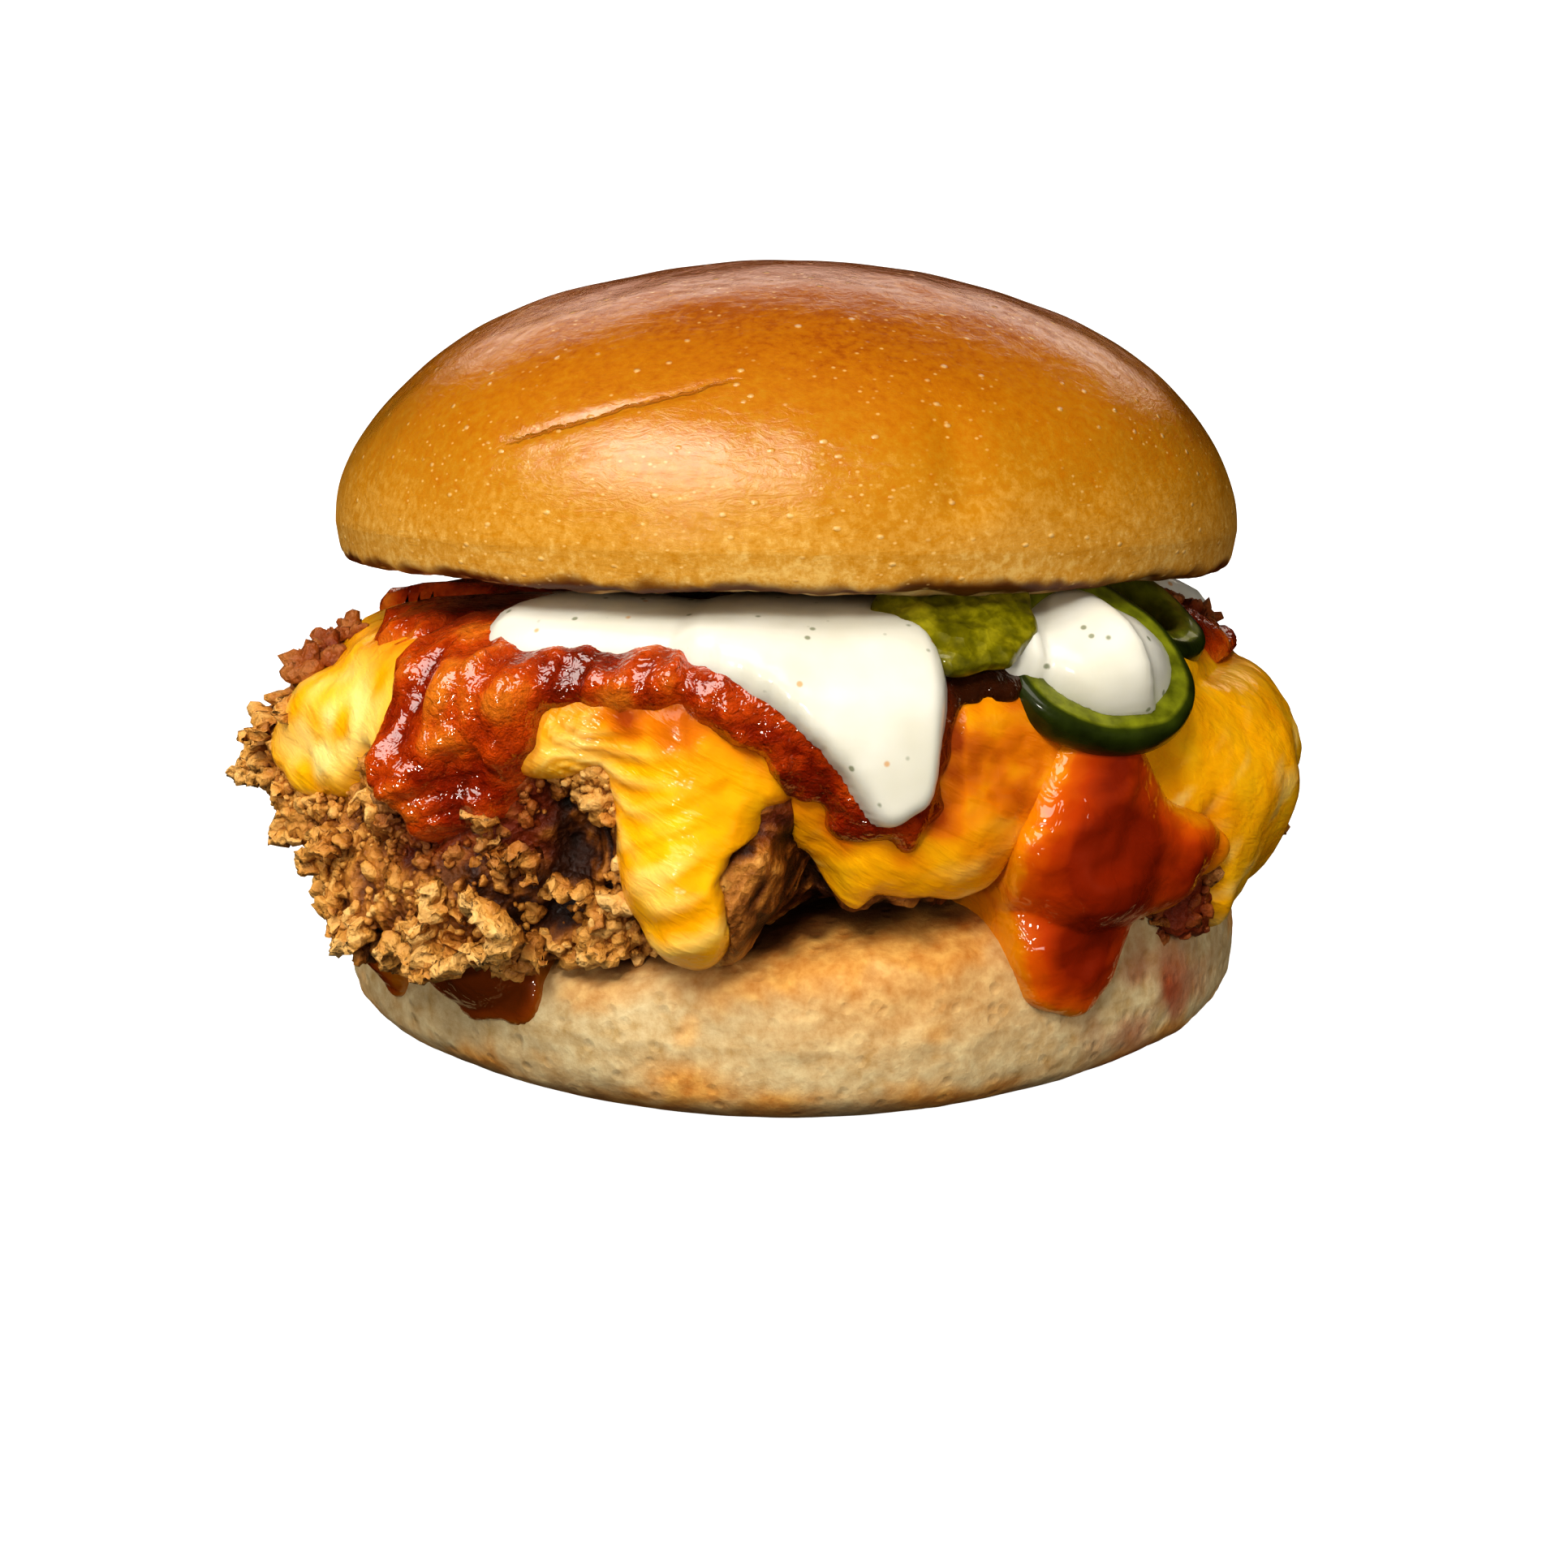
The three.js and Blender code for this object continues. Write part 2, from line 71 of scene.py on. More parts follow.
JALAPENO_RADIUS = 12
JALAPENO_HOLE = 7.6
JALAPENO_THICKNESS = 4.4
PICKLE_RADIUS = 9
PICKLE_THICKNESS = 3.4

# Azimuth is in degrees, 0 at the front and 90 on the right: place, then size in degrees or millimetres
FILLET_LOBES = [(-80, 2.5, 36), (-40, 1.5, 20), (84, 1, 34), (178, -4, 55)]
FILLET_DROOPS = [(-48, 8, 30), (-85, 4, 20), (60, 13, 20), (150, 5, 20)]
FILLET_LUMPS = [
    (-84, 31, 7, 13, 7),
    (-80, 48, -3.5, 24, 7),
    (-58, 22, 3.5, 12, 8),
    (-70, 43, 3, 10, 6),
    (-49, 24, 4, 9, 8),
    (-37, 25, 5.5, 7, 7),
    (-43, 38, 2.5, 9, 7),
    (-25, 32, -6, 5, 8),
    (-18, 24, -3, 5, 5),
    (-10, 27, 6, 9.5, 10),
    (3, 28, -7, 3.6, 10),
    (16, 36, 1.5, 10, 8),
    (57, 17, 4, 9, 8),
    (76, 33, 6, 22, 9),
    (78, 49, -4, 24, 7),
    (80, 21, 4.5, 13, 8),
    (104, 27, -4, 7, 9),
    (122, 28, 4, 12, 8),
    (150, 25, 3, 9, 7),
    (171, 27, -4, 6, 8),
    (-164, 27, 4, 10, 8),
    (-134, 27, 3.5, 11, 8),
    (-112, 31, -4, 7, 9),
    (-98, 27, 3, 8, 7),
]
CHEESE_HEM = 9, [
    (-75.5, 14, 4.5),
    (-65, 17, 12),
    (-45, 13, 12),
    (-27, 11, 9),
    (-11.5, 31, 9.2),
    (-2, 14, 8),
    (6.5, 30, 6),
    (17, 26, 14.5),
    (42, 25, 17),
    (67, 31, 12),
    (88, 16, 14),
    (136, 11, 12),
    (168, 5, 12),
    (-163, 13, 12),
    (-136, 5, 12),
    (-111, 12, 10),
]
RELISH_HEM = 0, [
    (-68, 3.5, 13),
    (-38, 26.5, 10.5),
    (-20, 10, 14),
    (-3, 15, 9),
    (3.5, 22, 8),
    (11.5, 25.5, 8.5),
    (24, 9, 7),
    (96, 8, 14),
    (150, 15, 12),
    (-138, 13, 14),
    (-108, 9, 10),
]
RANCH_HEM = -1, [
    (-20, 4.6, 24),
    (-6, 6.2, 8),
    (-2.5, 8, 7),
    (0.5, 10, 6),
    (3, 12.4, 5.4),
    (5.2, 14.8, 5),
    (7.4, 17.4, 4.8),
    (9.6, 20, 4.8),
    (12.3, 22.6, 5.5),
    (33, 6.5, 7.5),
    (41.5, 15, 11),
    (118, 8, 16),
    (-152, 9, 12),
]
RANCH_HEAPS = [(42, 54, 4.5, 8.5, 6), (11, 43, 1.2, 7, 10)]
RELISH_HEAPS = [(-42, 40, 2.6, 9, 10), (-36, 53, 1.6, 12, 5)]
HOT_SAUCE_POOLS = [(38, 41, 5.5, 6), (37.5, 31, 11, 10), (36, 20.5, 8, 9), (50, 27, 8.5, 6)]
SAUCE_HEAPS = [(36, 26.5, 3.4, 7.5, 5)]
SAUCE_BRIDGE = 9

# Single spots: azimuth, level, width in degrees and height in millimetres
CHEESE_TEAR = (-3, 30, 6.2, 5)
CRUST_HOLLOW = (-26, 31, 6, 7)
# Two painted highlights on the cheese
PALE_FOLD = (-62, 41, 10, 9)
PALE_SHOULDER = (-25, 46, 8, 5)
SOAKED_BREAD = (52, 10, 11, 7)

# Spots of colour: azimuth, level, strength, width in degrees and height in millimetres
OILY_CRUST = [(60, 18, 1, 12, 9), (40, 22, 1, 14, 12), (-84, 46, 1, 9, 6)]
# Painted shade on the crust: in its hollow at the front left and under the cheese slab
DARK_CRUST = [(-26, 31, 0.28, 7, 8), (17, 20, 0.4, 15, 5)]
SAUCY_CHEESE = [(24, 43, 0.75, 13, 8), (30, 34, 0.55, 9, 8), (-15, 50.5, 0.9, 8, 5)]
TOASTED_BREAD = [(14, 19, 0.75, 19, 8), (-12.5, 7, 1.1, 5, 2.4)]

# The fold of ranch in the front ring lies on this line, and the cheese's folds fan out from this corner
SWIRL_LINE = 75.5
SWIRL_SPOT = (50, 52, 12, 7)
FAN_CORNER = (-28.5, 45)
MILLIMETRES_PER_DEGREE = 0.95

# Where the greens lie, x, y and z in millimetres, and the azimuth and elevation that they face
RING_FRONT = (33.8, -39.5, 51, 34, 50)
RING_BACK = (37.5, -18, 53, 72, 62)
PICKLE_PLACE = (18.5, -44.5, 58, 14, 60)

# The crown's crease climbs to the right, and a shallow dent lies beside it
CREASE_START = -35.5
CREASE_SPAN = 28.5
CREASE_LEVEL = 21
CREASE_CLIMB = 14.5
DENT_AT = 21

# Crisp curls: azimuth, angle, bend radius, start and sweep in degrees, thickness and stand-off
CURLS = [
    (-34.5, -19.5, 5.0, 70, -300, 1.75, 2.6),
    (-30.5, -13, 2.2, 200, -230, 1.4, 3.4),
    (-37.4, -22.5, 2.8, 100, 230, 1.5, 2.4),
    (-29.8, 3, 5.2, 140, 90, 1.4, 3.6),
    (-26.2, -23, 3.0, 160, -150, 1.0, 2.2),
    (-24.6, -25, 2.4, 90, -140, 0.9, 2.0),
    (-28.6, -33, 3.0, 60, 150, 1.2, 2.4),
    (-44.4, -27, 2.6, 250, -290, 1.3, 1.8),
    (-56, -15, 3.0, 30, 200, 1.3, 1.5),
    (-52, -22, 2.6, 180, 220, 1.3, 1.5),
    (-78, 2, 3.4, 60, 190, 1.4, 1.5),
    (-83, -3, 2.6, 120, 220, 1.3, 2.0),
    (-74, 14, 3.0, 40, 240, 1.3, 1.5),
]

# Clumps of crust on the cheese: azimuth, angle, width and height in degrees, thickness, count of knobs
MOUNDS = [(-84, 36, 7.5, 7.5, 2.6, 90), (96, 45, 5, 6, 2.5, 30), (52.5, -44, 4.5, 9, 5, 80)]


# Noise fields over points in millimetres
SEEDS = np.random.default_rng(11).random((4096, 3), dtype=np.float32)


def seeds(cell, salt):
    """Three repeatable numbers from 0 to 1 for each whole cell."""
    mixed = cell[:, 0] * np.uint32(73856093) ^ cell[:, 1] * np.uint32(19349663)
    mixed ^= cell[:, 2] * np.uint32(83492791)
    mixed ^= np.uint32((salt * 2654435761 + 97) % 4294967296)
    mixed ^= mixed >> np.uint32(15)
    mixed *= np.uint32(739982445)
    mixed ^= mixed >> np.uint32(13)
    return SEEDS[mixed & np.uint32(4095)]


def gridded(points, size):
    scaled = (points / size + 400.37).astype(np.float32)
    cell = np.floor(scaled)
    return cell.astype(np.uint32), scaled - cell


def noise(points, size, salt=0):
    """Smooth noise from about -1 to 1 with features of the given size."""
    cell, part = gridded(points, size)
    fade = part * part * part * (part * (part * 6 - 15) + 10)
    total = np.zeros(len(points), dtype=np.float32)
    for corner in np.ndindex(2, 2, 2):
        shift = np.array(corner, dtype=np.uint32)
        slope = seeds(cell + shift, salt) * 2 - 1
        away = part - shift.astype(np.float32)
        weight = np.prod([fade[:, k] if corner[k] else 1 - fade[:, k] for k in range(3)], axis=0)
        total += weight * np.einsum("ij,ij->i", slope, away)
    return total * 1.6


def cells(points, size, salt=0):
    """Distance to the nearest scattered point, in units of the size."""
    cell, part = gridded(points, size)
    nearest = np.full(len(points), np.inf, dtype=np.float32)
    for corner in np.ndindex(3, 3, 3):
        shift = np.array(corner, dtype=np.uint32)
        away = seeds(cell + shift - np.uint32(1), salt) + (shift.astype(np.float32) - 1) - part
        nearest = np.minimum(nearest, np.sqrt(np.einsum("ij,ij->i", away, away)))
    return nearest


def smoothstep(value, low, high):
    share = np.clip((value - low) / (high - low), 0, 1)
    return share * share * (3 - 2 * share)


# The places of the burger's layers, for arrays of azimuths and angles in degrees
def turn(azimuth, at):
    """How far round from a place, from -180 to 180."""
    return (azimuth - at + 180) % 360 - 180


def swell(azimuth, at, wide):
    return np.exp(-((turn(azimuth, at) / wide) ** 2))


def heap(spots, azimuth, high):
    """The sum of soft spots, each with its own height or strength."""
    return sum(o * swell(azimuth, a, w) * np.exp(-(((high - h) / t) ** 2)) for a, h, o, w, t in spots)


def patch(azimuth, high, at, level, wide, tall):
    """A soft spot on the burger's side, from 0 to 1."""
    return swell(azimuth, at, wide) * np.exp(-(((high - level) / tall) ** 2))


def squircle(angle, squareness):
    """A point on a unit circle that is squared off."""
    c = np.cos(angle)
    s = np.sin(angle)
    size = (np.abs(c) ** squareness + np.abs(s) ** squareness) ** (1 / squareness)
    return c / size, s / size


def crown_seat(x, y):
    return CROWN_SEAT - y * math.tan(math.radians(CROWN_TILT)) - x * math.tan(math.radians(CROWN_ROLL))


def heel_top(x):
    return HEEL_HEIGHT + HEEL_LEAN * np.tanh(x / HEEL_LEAN_REACH)


def crown_rim(azimuth):
    a = np.radians(azimuth)
    return crown_seat(BUN_RADIUS * np.sin(a), -BUN_RADIUS * np.cos(a))


def heel_point(azimuth, angle, grow=0.0):
    a = np.radians(azimuth)
    across, up = squircle(np.radians(angle), np.where(angle > 0, 6, 4.3))
    wall = BUN_RADIUS + 0.5 * np.cos(2 * a + 0.6) + 0.4 * np.cos(5 * a)
    reach = (wall - 1.6 * np.maximum(0, up)) * across + grow * across
    x = reach * np.sin(a) + HEEL_SHIFT
    y = -reach * np.cos(a)
    top = heel_top(x) - HEEL_WAIST + 0.5 * np.cos(3 * a + 1) * across + grow
    z = HEEL_WAIST + up * np.where(angle > 0, top, HEEL_WAIST + HEEL_FOOT_CUT)
    return np.stack([x, y, np.maximum(0, z)], -1)


def crown_point(azimuth, angle):
    a = np.radians(azimuth)
    across, up = squircle(np.radians(angle), np.where(angle > 0, 2, 9))
    wall = BUN_RADIUS + 0.35 * np.cos(2 * a) + 0.3 * np.cos(3 * a + 1)
    reach = (wall + 0.9 * np.minimum(0, up)) * across
    rise = np.where(angle > 0, CROWN_RISE, CROWN_SKIRT)
    wave = np.where(angle < 0, 0.35 * np.cos(7 * a) * across, 0)
    return np.stack([reach * np.sin(a), -reach * np.cos(a), CROWN_SKIRT + up * rise + wave * np.abs(up)], -1)


class Skin:
    """The fillet's smooth skin at arrays of azimuths and angles, and the layers' thickness over it."""

    def __init__(self, azimuth, angle):
        self.azimuth = azimuth
        self.angle = angle
        a = np.radians(azimuth)
        squareness = np.where(angle > 0, FILLET_SHOULDER, FILLET_BELLY)
        across, up = squircle(np.radians(angle), squareness)
        full = FILLET_REACH + sum(o * swell(azimuth, at, w) for at, o, w in FILLET_LOBES)
        reach = full * across
        x = reach * np.sin(a)
        y = -reach * np.cos(a)
        top = crown_seat(x, y) - LAYERS_ABOVE_FILLET
        bottom = heel_top(x) + GAP
        half = (top - bottom) / 2
        overhang = smoothstep(reach, 46, 54) * smoothstep(-angle, 0, 36)
        sag = sum(d * swell(azimuth, at, w) for at, d, w in FILLET_DROOPS) * overhang
        z = (top + bottom) / 2 + half * up - sag
        steep = np.maximum(across, 1e-9) ** (squareness - 1) / full
        flat = np.sign(up) * np.abs(up) ** (squareness - 1) / half
        out = np.stack([steep * np.sin(a), -steep * np.cos(a), flat], -1)
        self.out = out / np.linalg.norm(out, axis=-1, keepdims=True)
        self.spot = np.stack([x, y, z], -1)
        self.high = z + np.where(angle < 0, reach - full, LAYERS_ABOVE_FILLET * self.out[:, 2])
        self.free = 1 - smoothstep(np.abs(up), 0.8, 0.97)

    def lifted(self, lift):
        return self.spot + self.out * lift[:, None]

    def inside(self, hem, ragged=0.0):
        """Millimetres inside a layer's hem, along the skin."""
        depth, drips = hem

        def edge(at):
            long = sum((d * np.exp(-((turn(at, c) / w) ** 4))) ** 6 for c, d, w in drips) ** (1 / 6)
            return crown_rim(at) - depth - long

        slope = (edge(self.azimuth + 0.5) - edge(self.azimuth - 0.5)) / math.radians(BUN_RADIUS)
        return (self.high - edge(self.azimuth)) / np.hypot(1, slope) + ragged

    def lumps(self):
        return (heap(FILLET_LUMPS, self.azimuth, self.high) + 1.3 * noise(self.spot, 17, 1)) * self.free


def thickness(inside, full, lip):
    """Full inside, rounded off at the lip, and sunk below the skin outside."""
    short = 1 - np.clip(inside / lip, 0, 1)
    rounded = full * np.sqrt(np.maximum(0, 1 - short * short))
    return np.where(inside <= 0, np.maximum(-4, 1.6 * inside), rounded)


def torn(skin):
    """Where the cheese has torn open over the front lump, as millimetres taken off it."""
    hole = patch(skin.azimuth, skin.high, *CHEESE_TEAR)
    ragged = noise(skin.spot, 5.5, 21) * 0.9 + noise(skin.spot, 2.4, 22) * 0.45
    return 7.5 * np.clip(hole * 1.35 + ragged * np.clip(hole * 2, 0, 1) - 0.45, 0, 1.2)


def cheese_inside(skin):
    ragged = 1.1 * noise(skin.spot, 9, 5) + 0.5 * noise(skin.spot, 3.5, 6)
    ragged = ragged * smoothstep(crown_rim(skin.azimuth) - skin.high, 6, 14)
    return skin.inside(CHEESE_HEM, ragged) - torn(skin)


def cheese_layer(skin):
    full = CHEESE_THICKNESS + 0.5 * noise(skin.spot, 12, 7)
    return thickness(cheese_inside(skin), full, CHEESE_LIP)


def relish_inside(skin):
    ragged = 1.5 * noise(skin.spot, 6, 8) + 0.8 * noise(skin.spot, 2.6, 9)
    notch = swell(skin.azimuth, -90, 17) * (1 - smoothstep(skin.angle, 40, 56))
    return skin.inside(RELISH_HEM, ragged) - 14 * notch


def relish_chunks(skin):
    """How far each point is from the middle of its chunk of relish."""
    return cells(skin.spot + 0.8 * noise(skin.spot, 3, 10)[:, None], 5.2, 11)


def relish_layer(skin):
    """Chunks over an even layer, pressed flat under the ranch and thinned to a film beside its lobe."""
    bare = 1 - 0.9 * smoothstep(skin.inside(RANCH_HEM), -3, -0.5)
    chunks = 3.1 * (0.6 - relish_chunks(skin)) + 0.9 * (0.5 - cells(skin.spot, 2.3, 12))
    film = smoothstep(skin.azimuth, 15, 19) * (1 - smoothstep(skin.azimuth, 34, 42))
    full = RELISH_THICKNESS + heap(RELISH_HEAPS, skin.azimuth, skin.high) + chunks * skin.free * bare
    return thickness(relish_inside(skin), np.maximum(0.5, full) * (1 - 0.7 * film), RELISH_LIP)


def ranch_inside(skin):
    return skin.inside(RANCH_HEM, 0.5 * noise(skin.spot, 8, 14))


def ranch_layer(skin):
    full = RANCH_THICKNESS + heap(RANCH_HEAPS, skin.azimuth, skin.high)
    full = full + 0.35 * noise(skin.spot, 9, 13) * skin.free
    past = skin.spot[:, 0] + 0.85 * skin.spot[:, 2] - SWIRL_LINE
    swirl = 0.9 * np.exp(-(((past + 1.6) / 1.5) ** 2)) - 1.9 * smoothstep(past, -0.5, 0.5)
    full = full + swirl * patch(skin.azimuth, skin.high, *SWIRL_SPOT)
    return thickness(ranch_inside(skin), full, RANCH_LIP)


def wandering(points, size, salt):
    """Three noises, one for each axis."""
    return np.stack([noise(points, size, salt + k) for k in range(3)], -1)


def crust_relief(skin):
    """The fried crust's clumps, knobs and grains, and how far each point stands up, from 0 to 1."""
    bent = skin.spot + 2.2 * wandering(skin.spot, 6, 30) + 0.8 * wandering(skin.spot, 2.2, 40)
    clump = cells(bent, 9.5, 50)
    knob = cells(bent, 3.6, 51)
    grain = cells(bent, 1.7, 52)
    ridges = 1 - 2.2 * np.abs(noise(bent, 7, 53))
    rough = 0.45 + 0.55 * smoothstep(noise(skin.spot, 12, 54), -0.5, 0.4)
    relief = 2.6 * (0.55 - clump) + rough * (2.3 * (0.5 - knob) + 0.95 * (0.5 - grain)) + 0.9 * ridges
    # The colour level: lighter on raised tips and darker in hollows, painted light and shade over the
    # crust's own tones
    peak = np.clip(0.5 + 0.16 * relief + 0.35 * (0.45 - knob) + 0.3 * (0.45 - grain), 0, 1)
    return relief, peak


def crust_oil(skin):
    """How soaked the crust is with sauce and relish, from 0 to 1."""
    soaked = heap(OILY_CRUST, skin.azimuth, skin.high)
    return np.clip(soaked + 0.8 * smoothstep(relish_inside(skin), -5, -0.5), 0, 1)


# Mesh making
DETAIL = 1.0
FRONT_CROWDING = 20


def ball(columns, rows):
    """A unit ball rolled up from a grid, which is quick at this many points."""
    made = bmesh.new()
    bmesh.ops.create_grid(made, x_segments=int(columns * DETAIL), y_segments=int(rows * DETAIL), size=0.5)
    for vert in made.verts:
        around = 2 * math.pi * vert.co.x
        up = math.pi * vert.co.y
        vert.co = (math.cos(around) * math.cos(up), math.sin(around) * math.cos(up), math.sin(up))
    bmesh.ops.remove_doubles(made, verts=made.verts, dist=1e-6)
    return made


def places(made):
    return np.array([v.co[:] for v in made.verts])


def chart(made, crowding, forward):
    """Azimuths and angles in degrees of a unit ball's points, crowded to the middle and to the front."""
    at = places(made)
    share = np.degrees(np.arcsin(np.clip(at[:, 2], -1, 1))) / 90
    angle = 90 * np.sign(share) * np.abs(share) ** crowding
    even = np.where(np.abs(share) > 0.9999, 0, np.arctan2(at[:, 0], -at[:, 1]))
    return np.degrees(even) - forward * np.sin(even), angle


def drop(made, hidden):
    """Removes points that lie buried in the layer below."""
    buried = [vert for vert, gone in zip(made.verts, hidden) if gone]
    bmesh.ops.delete(made, geom=buried, context="VERTS")


def exposed(columns, rows, crowding, hidden):
    """A ball without its buried points, and the skin under the points that are left."""
    made = ball(columns, rows)
    drop(made, hidden(Skin(*chart(made, crowding, FRONT_CROWDING))))
    return made, Skin(*chart(made, crowding, FRONT_CROWDING))


def copied(shape, copies):
    """Many copies of a small shape in one mesh, and one copy's points."""
    shape.verts.index_update()
    at = places(shape)
    faces = np.array([[vert.index for vert in face.verts] for face in shape.faces])
    shape.free()
    starts = np.repeat(np.arange(copies) * len(at), len(faces))
    mesh = bpy.data.meshes.new("copies")
    mesh.from_pydata(np.tile(at, (copies, 1)), [], np.tile(faces, (copies, 1)) + starts[:, None])
    made = bmesh.new()
    made.from_mesh(mesh)
    bpy.data.meshes.remove(mesh)
    return made, at


def piece(name, made, points, surface, slot_name, *nodes, matrix=None, **fields):
    """An object from a mesh, its points in millimetres, and the values at them that its material reads."""
    mesh = bpy.data.meshes.new(name)
    made.to_mesh(mesh)
    made.free()
    mesh.vertices.foreach_set("co", (points * 0.001).astype(np.float32).ravel())
    for field_name, values in fields.items():
        stored = mesh.attributes.new(field_name, "FLOAT", "POINT")
        stored.data.foreach_set("value", np.clip(values, 0, 1).astype(np.float32))
    if matrix is not None:
        mesh.transform(matrix)
    mesh.polygons.foreach_set("use_smooth", np.ones(len(mesh.polygons), dtype=bool))
    mesh.materials.append(surface.material)
    mesh.update()
    made_object = bpy.data.objects.new(name, mesh)
    bpy.context.scene.collection.objects.link(made_object)
    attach(made_object, "root")
    if nodes:
        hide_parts(*nodes)


# Material making
def hexed(code, alpha=1.0):
    """An sRGB hex colour as linear numbers."""
    parts = [int(code[i : i + 2], 16) / 255 for i in (1, 3, 5)]
    return tuple(p / 12.92 if p <= 0.04045 else ((p + 0.055) / 1.055) ** 2.4 for p in parts) + (alpha,)


class Surface:
    """A material in the making, with its surface shader and the object's coordinates in millimetres."""

    def __init__(self, name, **surface):
        self.material = bpy.data.materials.new(name)
        self.material.use_nodes = True
        self.shader = self.material.node_tree.nodes["Principled BSDF"]
        for key, value in surface.items():
            self.shader.inputs[key.replace("_", " ")].default_value = value
        self.place = self.squeezed((1000, 1000, 1000), self.step("TexCoord").outputs["Object"])

    def step(self, kind, inputs=None, **settings):
        """Adds one shader node, with its settings and with values or links for its inputs."""
        node = self.material.node_tree.nodes.new("ShaderNode" + kind)
        for key, value in settings.items():
            setattr(node, key, value)
        for key, value in (inputs or {}).items():
            if isinstance(value, bpy.types.NodeSocket):
                self.material.node_tree.links.new(value, node.inputs[key])
            else:
                node.inputs[key].default_value = value
        return node

    def join(self, socket, *names):
        """Links a value to inputs of the surface shader."""
        for name in names:
            self.material.node_tree.links.new(socket, self.shader.inputs[name])

    def squeezed(self, scale, place=None):
        """Coordinates scaled on each axis, so that a pattern is drawn out or flattened."""
        inputs = {0: place or self.place, 1: scale}
        return self.step("VectorMath", inputs, operation="MULTIPLY").outputs[0]

    def grainy(self, size, detail=3.0, rough=0.5, distortion=0.0, place=None):
        """Noise from 0 to 1 with features of a size in millimetres."""
        inputs = {"Vector": place or self.place, "Scale": 1 / size, "Detail": detail}
        inputs |= {"Roughness": rough, "Distortion": distortion}
        return self.step("TexNoise", inputs).outputs["Fac"]

    def cellular(self, size, place=None):
        """Distance to the nearest of scattered points that lie about a size in millimetres apart."""
        inputs = {"Vector": place or self.place, "Scale": 1 / size}
        return self.step("TexVoronoi", inputs).outputs["Distance"]

    def field(self, name):
        """The values that a piece's mesh carries under a name."""
        return self.step("Attribute", attribute_name=name).outputs["Fac"]

    def ramp(self, factor, *stops):
        """A colour for each level of a value: pairs of level and hex colour or grey."""
        node = self.step("ValToRGB", {"Fac": factor})
        elements = node.color_ramp.elements
        while len(elements) < len(stops):
            elements.new(0.5)
        for element, (level, colour) in zip(elements, stops):
            element.position = level
            element.color = hexed(colour) if isinstance(colour, str) else (colour, colour, colour, 1)
        return node.outputs["Color"]

    def mix(self, factor, first, second):
        return self.step("Mix", {0: factor, 6: first, 7: second}, data_type="RGBA").outputs[2]

    def math(self, operation, first, second=0.5, third=0.5):
        return self.step("Math", {0: first, 1: second, 2: third}, operation=operation).outputs[0]

    def add_scaled(self, base, shift, value, share):
        """A base shifted down, with a share of another value on top."""
        return self.math("MULTIPLY_ADD", value, share, self.math("SUBTRACT", base, shift))

    def bump(self, height, distance, strength=1.0, under=None):
        """Relief of a height from 0 to 1, with its depth in millimetres."""
        inputs = {"Height": height, "Distance": distance * 0.001, "Strength": strength}
        if under is not None:
            inputs["Normal"] = under
        return self.step("Bump", inputs).outputs["Normal"]


# Fried crust: golden knobs over dark hollows, red-brown where oil and sauce soak it; the colour level is
# lighter on raised tips and darker in hollows, painted light and shade over the crust's own golden-brown
# tones
crust = Surface("fried crust", Specular_IOR_Level=0.5, Coat_Weight=0.06, Coat_Roughness=0.2)
peaks = crust.field("peak")
mottle = crust.grainy(2.2, 4)
broad = crust.grainy(11, 2)
level = crust.add_scaled(peaks, 0.25, mottle, 0.5)
level = crust.add_scaled(level, 0.18, broad, 0.36)
fried = crust.ramp(
    level,
    (0.0, "#140803"),
    (0.26, "#3A1A06"),
    (0.42, "#74400E"),
    (0.58, "#B0722A"),
    (0.76, "#D09646"),
    (0.96, "#E8B86E"),
)
oily = crust.field("oil")
oiled = crust.mix(crust.math("MULTIPLY", oily, 0.85), fried, hexed("#7E2A08"))
crust.join(oiled, "Base Color")
crust.join(crust.ramp(mottle, (0.3, 0.3), (0.7, 0.62)), "Roughness")
fine = crust.grainy(0.5, 4, 0.6)
pits = crust.cellular(0.9)
relief = crust.bump(pits, 0.7, 0.6)
crust.join(crust.bump(fine, 0.4, 0.8, relief), "Normal")

# Melted cheese: soft yellow with stretch marks, painted highlights on its fold ridges and two patches, brown
# oil where it is thin, and orange sauce running over it
cheese = Surface(
    "melted cheese",
    Subsurface_Weight=0.15,
    Subsurface_Radius=(1.0, 0.55, 0.1),
    Subsurface_Scale=0.002,
    Specular_IOR_Level=0.15,
    Coat_Weight=0.4,
    Coat_Roughness=0.07,
)
cloud = cheese.grainy(7, 3)
yellow = cheese.ramp(cloud, (0.25, "#E29200"), (0.5, "#EDA602"), (0.75, "#F4B80E"))
# Painted highlight: pale yellow on the fold ridges and on two patches
pale = cheese.mix(cheese.field("pale"), yellow, hexed("#FBDD84"))
thin = cheese.mix(cheese.field("thin"), pale, hexed("#8A4A16"))
film = cheese.field("stain")
stained = cheese.ramp(film, (0.1, "#E09006"), (0.45, "#D27404"), (0.9, "#9E4204"))
soak = cheese.step("Clamp", {0: cheese.math("MULTIPLY", film, 2.2)}).outputs[0]
stained = cheese.mix(soak, thin, stained)
cheese.join(stained, "Base Color")
cheese.join(cheese.ramp(cloud, (0.3, 0.2), (0.7, 0.38)), "Roughness")
dimples = cheese.bump(cheese.grainy(2.4, 3, 0.5, 0.6), 0.35, 0.5)
along = {"Vector": cheese.place, "Rotation": (0, math.radians(28), 0), "Scale": (5, 2.5, 1)}
drawn = cheese.step("Mapping", along, vector_type="TEXTURE").outputs[0]
strands = cheese.grainy(1.5, 3, 0.55, 0.5, place=drawn)
drawn_out = cheese.bump(strands, 0.6, 0.5, dimples)
cheese.join(drawn_out, "Normal", "Coat Normal")
